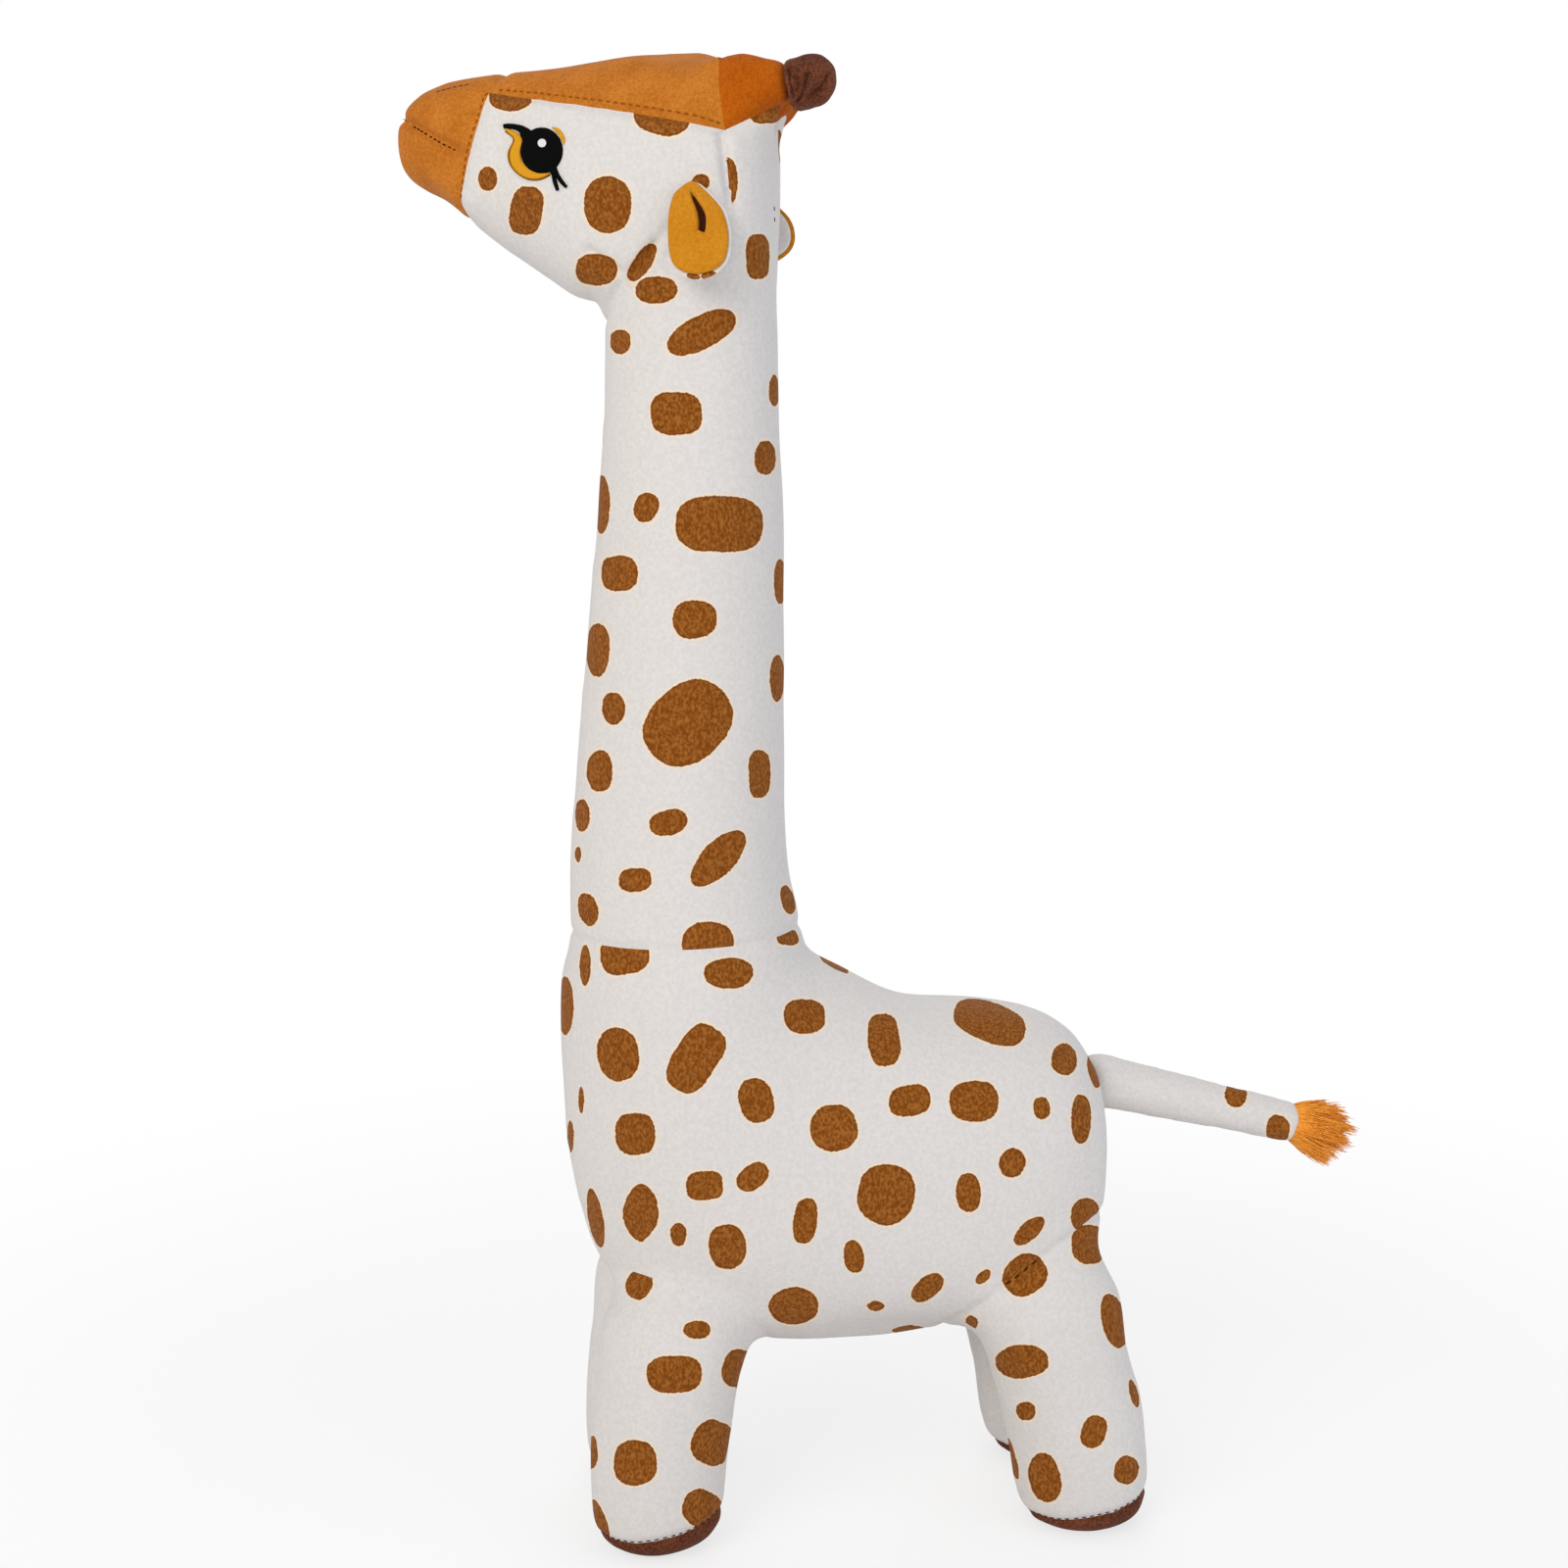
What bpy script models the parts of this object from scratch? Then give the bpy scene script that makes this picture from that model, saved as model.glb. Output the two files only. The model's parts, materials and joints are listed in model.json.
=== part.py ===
"""A stuffed toy giraffe, standing, in metres with +Z up. It faces -X and its left flank faces -Y.

Every stuffed piece is a loft. Its rows give the upper and the lower edge of the side profile and half
the depth across it, and the rings between them swell and taper. Pieces that move on each other meet
on a ball about the joint, so that they turn in their seats with an even gap.
"""

import math

import bmesh
import bpy
import numpy as np
from mathutils import Matrix, Vector

# Gaps between pieces, and how near two points of one skin are joined
SEAM_GAP = 0.0003
SEAT_GAP = 0.0004
JOINED_WITHIN = 0.000015

# Trunk
BODY_LENGTH = 0.2264
BODY_HEIGHT = 0.141
BODY_DEPTH = 0.110
BELLY_CLEARANCE = 0.071
RUMP_BULGE = 0.0058

# Neck
NECK_BASE_WIDTH = 0.093
NECK_TOP_WIDTH = 0.0665
NECK_RISE = 0.255
NECK_SET_BACK = 0.003
NECK_SEAT_RADIUS = 0.062
NECK_LEAN = math.radians(7.0)

# Head
HEAD_LENGTH = 0.1465
HEAD_HEIGHT = 0.1135
HEAD_DEPTH = 0.073
HEAD_BACK = 0.0355
HEAD_DROP = 0.037
HEAD_SEAT_RADIUS = 0.060
HEAD_TURN = math.radians(-18.0)
MUZZLE_BULGE = 0.021
MUZZLE_DROOP = math.radians(3.0)
NAPE_BULGE = 0.0045

# Eyes
EYE_WIDTH = 0.0185
EYE_THICKNESS = 0.0009

# Ears
EAR_LENGTH = 0.0363
EAR_WIDTH = 0.0240
EAR_THICKNESS = 0.0052
EAR_TILT = math.radians(13.0)
LINING_THICKNESS = 0.0022
LINING_INSET = 0.0021
LINING_ROOT_INSET = 0.0042

# Horns
HORN_LENGTH = 0.0335
HORN_WIDTH = 0.025
HORN_TIP_LENGTH = 0.018
HORN_TIP_WIDTH = 0.0185
HORN_SPACING = 0.031
HORN_RISE_LEFT = math.radians(10.0)
HORN_RISE_RIGHT = math.radians(19.0)

# Legs
HIP_SPACING = 0.064
HIP_DEPTH = 0.052
FRONT_HIP_HEIGHT = 0.083
FRONT_HIP_WIDTH = 0.061
FRONT_LEG_WIDTH = 0.0568
FRONT_FOOT_SHIFT = -0.007
HIND_HIP_HEIGHT = 0.087
HIND_HIP_WIDTH = 0.067
HIND_LEG_WIDTH = 0.058
HIND_FOOT_SHIFT = 0.0172
SOLE_THICKNESS = 0.0058

# Tail
TAIL_LENGTH = 0.087
TAIL_ROOT_WIDTH = 0.0226
TAIL_END_WIDTH = 0.0168
TAIL_DROOP = math.radians(14.0)
TUFT_LENGTH = 0.0265
TUFT_WIDTH = 0.0225

# Places, as shares of the sizes that they follow
NECK_PLACE_SHARE = 0.774
NECK_AXIS_SHARE = 0.879
FRONT_HIP_SHARE = 0.8136
HIND_HIP_SHARE = 0.1489
TAIL_PLACE_SHARES = (0.015, 0.745)
HORN_PLACE_SHARES = (0.062, 0.822)
HORN_WAIST_SHARE = 0.87
EAR_PLACE_SHARES = (0.150, 0.500)
EYE_PLACE_SHARES = (0.578, 0.643)

# Rows of shares: upper edge along and up, lower edge along and up, half depth
TRUNK_SHARES = (
    (0.038, 0.838, 0.058, 0.215, 0.62),
    (0.109, 0.943, 0.130, 0.105, 0.84),
    (0.224, 0.998, 0.255, 0.038, 0.96),
    (0.361, 1.004, 0.405, 0.025, 1.00),
)
# The rows that fan up to the neck: upper edge between the back and the seat, lower edge, half depth
SHOULDER_SHARES = (
    (0.27, 0.22, 0.560, 0.015, 1.000),
    (0.49, 0.48, 0.755, 0.052, 1.000),
    (0.66, 0.74, 0.914, 0.185, 0.985),
    (0.80, 0.95, 0.981, 0.430, 0.970),
    (0.93, 1.02, 1.000, 0.720, 0.945),
)
# Neck rows: height, set back, and how far the width has gone from base to top
NECK_SHARES = (
    (0.243, -0.83, 0.17),
    (0.350, -1.00, 0.29),
    (0.500, -0.48, 0.44),
    (0.660, 0.11, 0.60),
    (0.810, 0.72, 0.72),
    (0.950, 1.00, 0.89),
    (1.080, 1.00, 1.00),
)
HEAD_SHARES = (
    (0.049, 0.845, 0.045, 0.107, 0.66),
    (0.100, 0.936, 0.098, 0.019, 0.88),
    (0.187, 0.996, 0.187, 0.000, 0.97),
    (0.310, 0.990, 0.310, 0.004, 1.00),
    (0.433, 0.969, 0.447, 0.075, 0.985),
    (0.557, 0.951, 0.584, 0.222, 0.93),
    (0.681, 0.941, 0.707, 0.324, 0.81),
    (0.792, 0.937, 0.820, 0.428, 0.70),
    (0.902, 0.915, 0.917, 0.540, 0.59),
)
# Seams across the head, each through two places in its side view
MUZZLE_SEAM_SHARES = ((0.752, 0.890), (0.846, 0.467))
MOUTH_SEAM_SHARES = ((0.975, 0.749), (0.846, 0.652))
CAP_SEAM_SHARES = ((0.780, 0.846), (0.156, 0.713))
SEAM_BLOCK_SHARE = 3.0
# Ear rows: down the ear, half width
EAR_SHARES = (
    (0.00, 0.30),
    (0.16, 0.50),
    (0.40, 0.85),
    (0.64, 1.00),
    (0.80, 0.90),
)
# Leg rows: height, shift towards the foot, half width, half depth
LEG_SHARES = (
    (0.068, 1.00, 0.920, 0.93),
    (0.190, 0.97, 0.960, 0.96),
    (0.430, 0.84, 0.985, 0.98),
    (0.660, 0.62, 1.000, 0.98),
    (0.850, 0.27, 1.020, 0.99),
)
# Sole rows: height, size
SOLE_SHARES = ((0.0, 0.56), (0.18, 0.79), (0.50, 0.91), (1.0, 0.99))
# Tail rows: along, and how far the width has gone from root to end
TAIL_SHARES = ((0.0, 0.0), (0.06, 0.26), (0.20, 0.36), (0.50, 0.66), (0.75, 0.88), (1.0, 1.0))
TUFT_SHARES = ((0.0, 0.72), (0.22, 0.92), (0.5, 1.0), (0.72, 0.92))

# How square a section is, from none on an ellipse to one on a square
ROUND_SHARE = 0.0
FULL_SHARE = 0.149
FLAT_SHARE = 0.375

# Facets
STUFFED_SIDES = 24
LEG_SIDES = 18
SMALL_SIDES = 12
CUTTER_SIDES = 24
STEPS = 2
DOME_STEPS = 4
SEAT_STEPS = 5

SIDES = (("left", -1), ("right", 1))


def clear_scene():
    for item in list(bpy.data.objects):
        bpy.data.objects.remove(item)


def fabric(name, colour, roughness):
    """A cloth finish with its base colour in linear values."""
    finish = bpy.data.materials.new(name)
    finish.use_nodes = True
    shader = finish.node_tree.nodes["Principled BSDF"]
    shader.inputs["Base Color"].default_value = (*colour, 1.0)
    shader.inputs["Roughness"].default_value = roughness
    shader.inputs["Metallic"].default_value = 0.0
    return finish


def joint_frame(name, parent, place, turn=None):
    """An empty on a joint's axis, which carries the pieces that move with it."""
    frame = bpy.data.objects.new(name, None)
    bpy.context.collection.objects.link(frame)
    frame.parent = parent
    frame.location = place
    if turn is not None:
        frame.rotation_euler = turn
    return frame


def add_piece(name, bm, parent, finish=None):
    """The mesh as an object under its joint's frame, closed and facing out."""
    bmesh.ops.recalc_face_normals(bm, faces=bm.faces)
    mesh = bpy.data.meshes.new(name)
    bm.to_mesh(mesh)
    bm.free()
    mesh.shade_smooth()
    piece = bpy.data.objects.new(name, mesh)
    bpy.context.collection.objects.link(piece)
    piece.parent = parent
    if finish is None:
        piece.hide_render = True
        piece.display_type = "WIRE"
    else:
        mesh.materials.append(finish)
    return piece


def trim(piece, cutter, operation="DIFFERENCE"):
    step = piece.modifiers.new(f"{operation.lower()}_{cutter.name}", "BOOLEAN")
    step.operation = operation
    step.solver = "EXACT"
    step.object = cutter


def smooth_rows(rows):
    """The rows with more set between them on a smooth curve through all of them."""
    rows = np.array(rows)
    padded = np.vstack([2 * rows[0] - rows[1], rows, 2 * rows[-1] - rows[-2]])
    made = []
    for before, here, there, after in zip(padded, padded[1:], padded[2:], padded[3:]):
        for step in range(STEPS):
            t = step / STEPS
            bend = 2 * before - 5 * here + 4 * there - after
            twist = 3 * here - before - 3 * there + after
            made.append(here + 0.5 * ((there - before) * t + bend * t**2 + twist * t**3))
    made.append(rows[-1])
    return made


def round_end(row, bulge, outward):
    """Rows that close an end in a dome. Outward is the way that the dome bulges, in the side view."""
    upper = np.array(row[:2])
    lower = np.array(row[2:4])
    middle = (upper + lower) / 2
    made = []
    for step in range(1, DOME_STEPS + 1):
        angle = math.pi / 2 * step / DOME_STEPS
        shrink = math.cos(angle) if step < DOME_STEPS else 0.0
        centre = middle + np.array(outward) * bulge * math.sin(angle)
        edges = [*(centre + (upper - middle) * shrink), *(centre + (lower - middle) * shrink)]
        made.append([*edges, row[4] * shrink, row[5]])
    return made


def ball_rows(middle_x, middle_z, radius, start, end, depth_share=1.0):
    """Level rings on a ball, between two angles from its top."""
    made = []
    for step in range(SEAT_STEPS + 1):
        angle = start + (end - start) * step / SEAT_STEPS
        reach = radius * math.sin(angle)
        height = middle_z + radius * math.cos(angle)
        half_depth = reach * depth_share
        made.append([middle_x + reach, height, middle_x - reach, height, half_depth, ROUND_SHARE])
    return made


def loft(rows, sides, grow=0.0):
    """A closed skin through the rows. Rows of no size close to a point, others are filled flat."""
    bm = bmesh.new()
    rings = []
    for upper_x, upper_z, lower_x, lower_z, half_depth, square in rows:
        half = Vector((upper_x - lower_x, 0.0, upper_z - lower_z)) / 2
        middle = Vector((upper_x + lower_x, 0.0, upper_z + lower_z)) / 2
        size = half.length
        if grow and size:
            half *= (size + grow) / size
            half_depth += grow
        ring = []
        for side in range(sides):
            angle = math.tau * side / sides
            up = math.copysign(abs(math.cos(angle)) ** (1 - square), math.cos(angle))
            out = math.copysign(abs(math.sin(angle)) ** (1 - square), math.sin(angle))
            ring.append(bm.verts.new(middle + half * up + Vector((0.0, half_depth * out, 0.0))))
        rings.append(ring)
    for ring, after in zip(rings, rings[1:]):
        for side in range(sides):
            beside = (side + 1) % sides
            bm.faces.new((ring[side], ring[beside], after[beside], after[side]))
    for row, ring in ((rows[0], rings[0]), (rows[-1], rings[-1])):
        if row[4] > 0:
            bm.faces.new(ring)
    bmesh.ops.remove_doubles(bm, verts=bm.verts, dist=JOINED_WITHIN)
    return bm


def ball(radius, depth_share=1.0):
    """A cutter's ball, whose flats lie outside the radius."""
    bm = bmesh.new()
    clear = radius / math.cos(math.pi / CUTTER_SIDES) ** 2
    bmesh.ops.create_uvsphere(bm, u_segments=CUTTER_SIDES, v_segments=CUTTER_SIDES // 2, radius=clear)
    bmesh.ops.transform(bm, matrix=Matrix.Scale(depth_share, 4, (0.0, 1.0, 0.0)), verts=bm.verts)
    return bm


def side_of(rows, x, z):
    """How far out a lofted skin stands from the middle plane at a place in its side view."""
    dense = np.array(smooth_rows(rows))
    middle_x = (dense[:, 0] + dense[:, 2]) / 2
    order = np.argsort(middle_x)
    columns = [np.interp(x, middle_x[order], dense[order, column]) for column in (1, 3, 4, 5)]
    upper, lower, half_depth, square = columns
    off_middle = abs(2 * z - upper - lower) / (upper - lower)
    power = 2 / (1 - square)
    return half_depth * (1 - min(off_middle, 1.0) ** power) ** (1 / power)


def neck_axis():
    height = BELLY_CLEARANCE + NECK_AXIS_SHARE * BODY_HEIGHT
    return -NECK_PLACE_SHARE * BODY_LENGTH, height


def trunk_rows():
    """The trunk from rump to chest. Its sections fan up to a domed seat under the neck."""
    def place(along, up):
        return -along * BODY_LENGTH, BELLY_CLEARANCE + up * BODY_HEIGHT

    rows = []
    for top, top_up, low, low_up, depth in TRUNK_SHARES:
        rows.append([*place(top, top_up), *place(low, low_up), depth * BODY_DEPTH / 2, FULL_SHARE])
    axis_x, axis_z = neck_axis()
    rim = math.asin(NECK_BASE_WIDTH / 2 / NECK_SEAT_RADIUS) + NECK_LEAN
    dome = ball_rows(axis_x, axis_z, NECK_SEAT_RADIUS, rim, 0.0)
    back_x, back_z = rows[-1][:2]
    seat_x, seat_z = dome[0][:2]
    for across, rise, low, low_up, depth in SHOULDER_SHARES:
        upper = (back_x + across * (seat_x - back_x), back_z + rise * (seat_z - back_z))
        lower = (-low * BODY_LENGTH, BELLY_CLEARANCE + low_up * (seat_z - BELLY_CLEARANCE))
        square = FULL_SHARE + rise * (ROUND_SHARE - FULL_SHARE)
        rows.append([*upper, *lower, depth * BODY_DEPTH / 2, square])
    rows.append(dome[0])
    rump = round_end(rows[0], RUMP_BULGE, (1.0, 0.0))
    return rump[::-1] + smooth_rows(rows) + dome[1:]


def build_body(root, finish):
    return add_piece("body", loft(trunk_rows(), STUFFED_SIDES), root, finish)


def build_neck(frame, finish):
    """The neck rides on the trunk's dome in a hollow, and carries the head on a dome of its own."""
    hollow = (NECK_SEAT_RADIUS + SEAT_GAP) / math.cos(math.pi / STUFFED_SIDES)
    rim = math.asin(NECK_BASE_WIDTH / 2 / hollow)
    rows = []
    base = ball_rows(0.0, 0.0, hollow, 0.0, rim)
    rows.append(base[-1])
    for up, back, narrowing in NECK_SHARES:
        half = (NECK_BASE_WIDTH + narrowing * (NECK_TOP_WIDTH - NECK_BASE_WIDTH)) / 2
        middle = back * NECK_SET_BACK
        height = up * NECK_RISE
        rows.append([middle + half, height, middle - half, height, half, ROUND_SHARE])
    start = math.asin(NECK_TOP_WIDTH / 2 / HEAD_SEAT_RADIUS)
    dome = ball_rows(NECK_SET_BACK, NECK_RISE, HEAD_SEAT_RADIUS, start, 0.0)
    rows.append(dome[0])
    rows = base[:-1] + smooth_rows(rows) + dome[1:]
    return add_piece("neck", loft(rows, STUFFED_SIDES), frame, finish)


def head_place(along, up):
    """A place in the head's side view, measured from the axis that the head turns on."""
    base = HEAD_SEAT_RADIUS - HEAD_DROP
    return HEAD_BACK - along * HEAD_LENGTH, base + up * HEAD_HEIGHT


def head_rows():
    rows = []
    for top, top_up, low, low_up, depth in HEAD_SHARES:
        half_depth = depth * HEAD_DEPTH / 2
        rows.append([*head_place(top, top_up), *head_place(low, low_up), half_depth, FULL_SHARE])
    return rows


def head_form(grow=0.0):
    rows = head_rows()
    nape = round_end(rows[0], NAPE_BULGE, (1.0, 0.0))
    muzzle = round_end(rows[-1], MUZZLE_BULGE, (-1.0, -math.sin(MUZZLE_DROOP)))
    return loft(nape[::-1] + smooth_rows(rows) + muzzle, STUFFED_SIDES, grow)


def seam_block(name, frame, places, offset):
    """A block whose face lies along a seam, moved by the offset. It lies on the left of the seam."""
    (start_x, start_z), (end_x, end_z) = (head_place(*place) for place in places)
    angle = math.atan2(end_z - start_z, end_x - start_x)
    size = SEAM_BLOCK_SHARE * HEAD_LENGTH
    bm = bmesh.new()
    bmesh.ops.create_cube(bm, size=size)
    bmesh.ops.translate(bm, verts=bm.verts, vec=(0.0, 0.0, size / 2 + offset))
    bmesh.ops.rotate(bm, verts=bm.verts, matrix=Matrix.Rotation(-angle, 3, "Y"))
    bmesh.ops.translate(bm, verts=bm.verts, vec=(start_x, 0.0, start_z))
    return add_piece(name, bm, frame)


def build_head(frame, sockets, finishes):
    """The stuffed head, parted by its seams into face, cap and muzzle, over a hollow for the neck."""
    half_gap = SEAM_GAP / 2
    front = MUZZLE_SEAM_SHARES[::-1]
    muzzle_side = seam_block("muzzle_side", frame, front, half_gap)
    muzzle_room = seam_block("muzzle_room", frame, front, -half_gap)
    lip_side = seam_block("lip_side", frame, MOUTH_SEAM_SHARES, half_gap)
    lip_room = seam_block("lip_room", frame, MOUTH_SEAM_SHARES, -half_gap)
    cap_side = seam_block("cap_side", frame, CAP_SEAM_SHARES, half_gap)
    cap_room = seam_block("cap_room", frame, CAP_SEAM_SHARES, -half_gap)
    hollow = add_piece("head_hollow", ball(HEAD_SEAT_RADIUS + SEAT_GAP), frame)

    head = add_piece("head", head_form(), frame, finishes["white"])
    for cutter in (hollow, muzzle_room, cap_room, *sockets):
        trim(head, cutter)
    cap = add_piece("face_cap", head_form(), frame, finishes["golden"])
    trim(cap, muzzle_room)
    trim(cap, cap_side, "INTERSECT")
    for socket in sockets:
        trim(cap, socket)
    upper = add_piece("muzzle_upper", head_form(), frame, finishes["golden"])
    trim(upper, muzzle_side, "INTERSECT")
    trim(upper, lip_side, "INTERSECT")
    lower = add_piece("muzzle_lower", head_form(), frame, finishes["golden"])
    trim(lower, muzzle_side, "INTERSECT")
    trim(lower, lip_room)


def build_eyes(frame, finish):
    """Stitched discs that follow the cheeks, a gap away from them."""
    skin = add_piece("eye_skin", head_form(SEAM_GAP + EYE_THICKNESS), frame)
    cheek = add_piece("eye_cheek", head_form(SEAM_GAP), frame)
    x, z = head_place(*EYE_PLACE_SHARES)
    for side, way in SIDES:
        bm = bmesh.new()
        bmesh.ops.create_cone(
            bm, cap_ends=True, segments=SMALL_SIDES * 2, depth=HEAD_DEPTH,
            radius1=EYE_WIDTH / 2, radius2=EYE_WIDTH / 2,
        )
        bmesh.ops.rotate(bm, verts=bm.verts, matrix=Matrix.Rotation(math.pi / 2, 3, "X"))
        bmesh.ops.translate(bm, verts=bm.verts, vec=(x, way * HEAD_DEPTH / 2, z))
        eye = add_piece(f"eye_{side}", bm, frame, finish)
        trim(eye, skin, "INTERSECT")
        trim(eye, cheek)


def ear_form(length, width, thickness, grow=0.0):
    rows = []
    for down, half in EAR_SHARES:
        reach = half * width / 2
        rows.append([reach, -down * length, -reach, -down * length, thickness / 2, FLAT_SHARE])
    root = round_end(rows[0], thickness / 2, (0.0, 1.0))
    end = round_end(rows[-1], (1 - EAR_SHARES[-1][0]) * length, (0.0, -1.0))
    return loft(root[::-1] + smooth_rows(rows) + end, SMALL_SIDES, grow)


def build_ears(frame, finishes):
    """Ears that hang from the side of the head and flap about their roots, each with its lining."""
    x, z = head_place(*EAR_PLACE_SHARES)
    out = side_of(head_rows(), x, z) + SEAT_GAP + EAR_THICKNESS / 2
    width = EAR_WIDTH - 2 * LINING_INSET
    length = EAR_LENGTH - LINING_INSET - LINING_ROOT_INSET
    for side, way in SIDES:
        axis = joint_frame(f"ear_axis_{side}", frame, (x, way * out, z), (way * EAR_TILT, 0.0, 0.0))
        shift = Vector((0.0, way * EAR_THICKNESS / 2, -LINING_ROOT_INSET))
        room = ear_form(length, width, LINING_THICKNESS, SEAM_GAP)
        bmesh.ops.translate(room, verts=room.verts, vec=shift)
        form = ear_form(EAR_LENGTH, EAR_WIDTH, EAR_THICKNESS)
        ear = add_piece(f"ear_{side}", form, axis, finishes["white"])
        trim(ear, add_piece(f"lining_room_{side}", room, axis))
        lining = ear_form(length, width, LINING_THICKNESS)
        bmesh.ops.translate(lining, verts=lining.verts, vec=shift)
        add_piece(f"ear_lining_{side}", lining, axis, finishes["golden"])


def horn_axes(frame):
    """The frames of the horns, and what is cut from the crown for each: a round socket and a way out."""
    x, z = head_place(*HORN_PLACE_SHARES)
    radius = (HORN_WIDTH / 2 + SEAT_GAP) / math.cos(math.pi / CUTTER_SIDES) ** 2
    way_out = [[along, radius, along, -radius, radius, ROUND_SHARE] for along in (0.0, HORN_LENGTH)]
    bore = round_end(way_out[0], radius, (-1.0, 0.0))[::-1] + way_out
    axes = []
    sockets = []
    for (side, way), rise in zip(SIDES, (HORN_RISE_LEFT, HORN_RISE_RIGHT)):
        place = (x, way * HORN_SPACING / 2, z)
        axis = joint_frame(f"horn_axis_{side}", frame, place, (0.0, -rise, 0.0))
        axes.append((side, axis))
        sockets.append(add_piece(f"horn_socket_{side}", loft(bore, CUTTER_SIDES), axis))
    return axes, sockets


def build_horns(axes, finishes):
    half = HORN_WIDTH / 2
    seam = HORN_LENGTH - HORN_TIP_LENGTH
    tip_half = HORN_TIP_WIDTH / 2
    waist = HORN_WAIST_SHARE * half
    for side, axis in axes:
        rows = [
            [0.0, half, 0.0, -half, half, ROUND_SHARE],
            [seam / 2, waist, seam / 2, -waist, waist, ROUND_SHARE],
            [seam, tip_half, seam, -tip_half, tip_half, ROUND_SHARE],
        ]
        root = round_end(rows[0], half, (-1.0, 0.0))
        stem = loft(root[::-1] + smooth_rows(rows), SMALL_SIDES)
        add_piece(f"horn_{side}", stem, axis, finishes["amber"])
        start = seam + SEAM_GAP
        crown = start + (HORN_LENGTH - start) / 2
        tip_rows = [
            [start, tip_half, start, -tip_half, tip_half, ROUND_SHARE],
            [crown, tip_half, crown, -tip_half, tip_half, ROUND_SHARE],
        ]
        end = round_end(tip_rows[-1], HORN_LENGTH - crown, (1.0, 0.0))
        add_piece(f"horn_tip_{side}", loft(tip_rows + end, SMALL_SIDES), axis, finishes["brown"])


def build_leg(name, axis, height, hip_width, leg_width, foot_shift, finishes):
    """A leg with a ball at the hip and a flat foot, and the dark sole under it."""
    depth_share = HIP_DEPTH / hip_width
    rows = []
    for up, shift, width, depth in LEG_SHARES:
        middle = shift * foot_shift
        level = (up - 1) * height
        half = width * leg_width / 2
        rows.append([middle + half, level, middle - half, level, depth * HIP_DEPTH / 2, ROUND_SHARE])
    foot = rows[0]
    foot_level = -height + SOLE_THICKNESS + SEAM_GAP
    foot[1] = foot_level
    foot[3] = foot_level
    dome = ball_rows(0.0, 0.0, hip_width / 2, math.pi / 2, 0.0, depth_share)
    rows.append(dome[0])
    add_piece(f"leg_{name}", loft(smooth_rows(rows) + dome[1:], LEG_SIDES), axis, finishes["white"])
    middle = (foot[0] + foot[2]) / 2
    half = (foot[0] - foot[2]) / 2
    sole_rows = []
    for up, size in SOLE_SHARES:
        level = -height + up * SOLE_THICKNESS
        reach = size * half
        sole_rows.append([middle + reach, level, middle - reach, level, size * foot[4], ROUND_SHARE])
    add_piece(f"sole_{name}", loft(sole_rows, LEG_SIDES), axis, finishes["brown"])


def build_legs(root, body, finishes):
    """Four legs, each in a socket of the trunk that is round about the hip's axis."""
    pairs = (
        ("front", FRONT_HIP_SHARE, FRONT_HIP_HEIGHT, FRONT_HIP_WIDTH, FRONT_LEG_WIDTH, FRONT_FOOT_SHIFT),
        ("hind", HIND_HIP_SHARE, HIND_HIP_HEIGHT, HIND_HIP_WIDTH, HIND_LEG_WIDTH, HIND_FOOT_SHIFT),
    )
    for pair, along, height, hip_width, leg_width, foot_shift in pairs:
        for side, way in SIDES:
            name = f"{pair}_{side}"
            place = (-along * BODY_LENGTH, way * HIP_SPACING / 2, height)
            axis = joint_frame(f"hip_axis_{name}", root, place)
            radius = hip_width / 2 + SEAT_GAP
            depth_share = (HIP_DEPTH / 2 + SEAT_GAP) / radius
            trim(body, add_piece(f"hip_socket_{name}", ball(radius, depth_share), axis))
            build_leg(name, axis, height, hip_width, leg_width, foot_shift, finishes)


def build_tail(root, body, finishes):
    """The tail droops from a ball at the rump and ends in a golden tuft."""
    along, up = TAIL_PLACE_SHARES
    place = (-along * BODY_LENGTH, 0.0, BELLY_CLEARANCE + up * BODY_HEIGHT)
    axis = joint_frame("tail_axis", root, place, (0.0, TAIL_DROOP, 0.0))
    root_half = TAIL_ROOT_WIDTH / 2
    trim(body, add_piece("tail_socket", ball(root_half + SEAT_GAP), axis))
    rows = []
    for out, narrowing in TAIL_SHARES:
        half = (TAIL_ROOT_WIDTH + narrowing * (TAIL_END_WIDTH - TAIL_ROOT_WIDTH)) / 2
        rows.append([out * TAIL_LENGTH, half, out * TAIL_LENGTH, -half, half, ROUND_SHARE])
    start = round_end(rows[0], root_half, (-1.0, 0.0))
    add_piece("tail", loft(start[::-1] + smooth_rows(rows), SMALL_SIDES), axis, finishes["white"])
    tuft_rows = []
    for out, size in TUFT_SHARES:
        x = TAIL_LENGTH + SEAM_GAP + out * TUFT_LENGTH
        half = size * TUFT_WIDTH / 2
        tuft_rows.append([x, half, x, -half, half, ROUND_SHARE])
    end = round_end(tuft_rows[-1], (1 - TUFT_SHARES[-1][0]) * TUFT_LENGTH, (1.0, 0.0))
    add_piece("tail_tuft", loft(smooth_rows(tuft_rows) + end, SMALL_SIDES), axis, finishes["golden"])


def centre_on_origin(root):
    """Moves the giraffe along its length until the middle of its box stands on the origin."""
    bpy.context.view_layer.update()
    reach = []
    for piece in bpy.data.objects:
        if piece.type == "MESH" and not piece.hide_render:
            reach += [(piece.matrix_world @ vertex.co).x for vertex in piece.data.vertices]
    root.location.x = -(min(reach) + max(reach)) / 2


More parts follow.
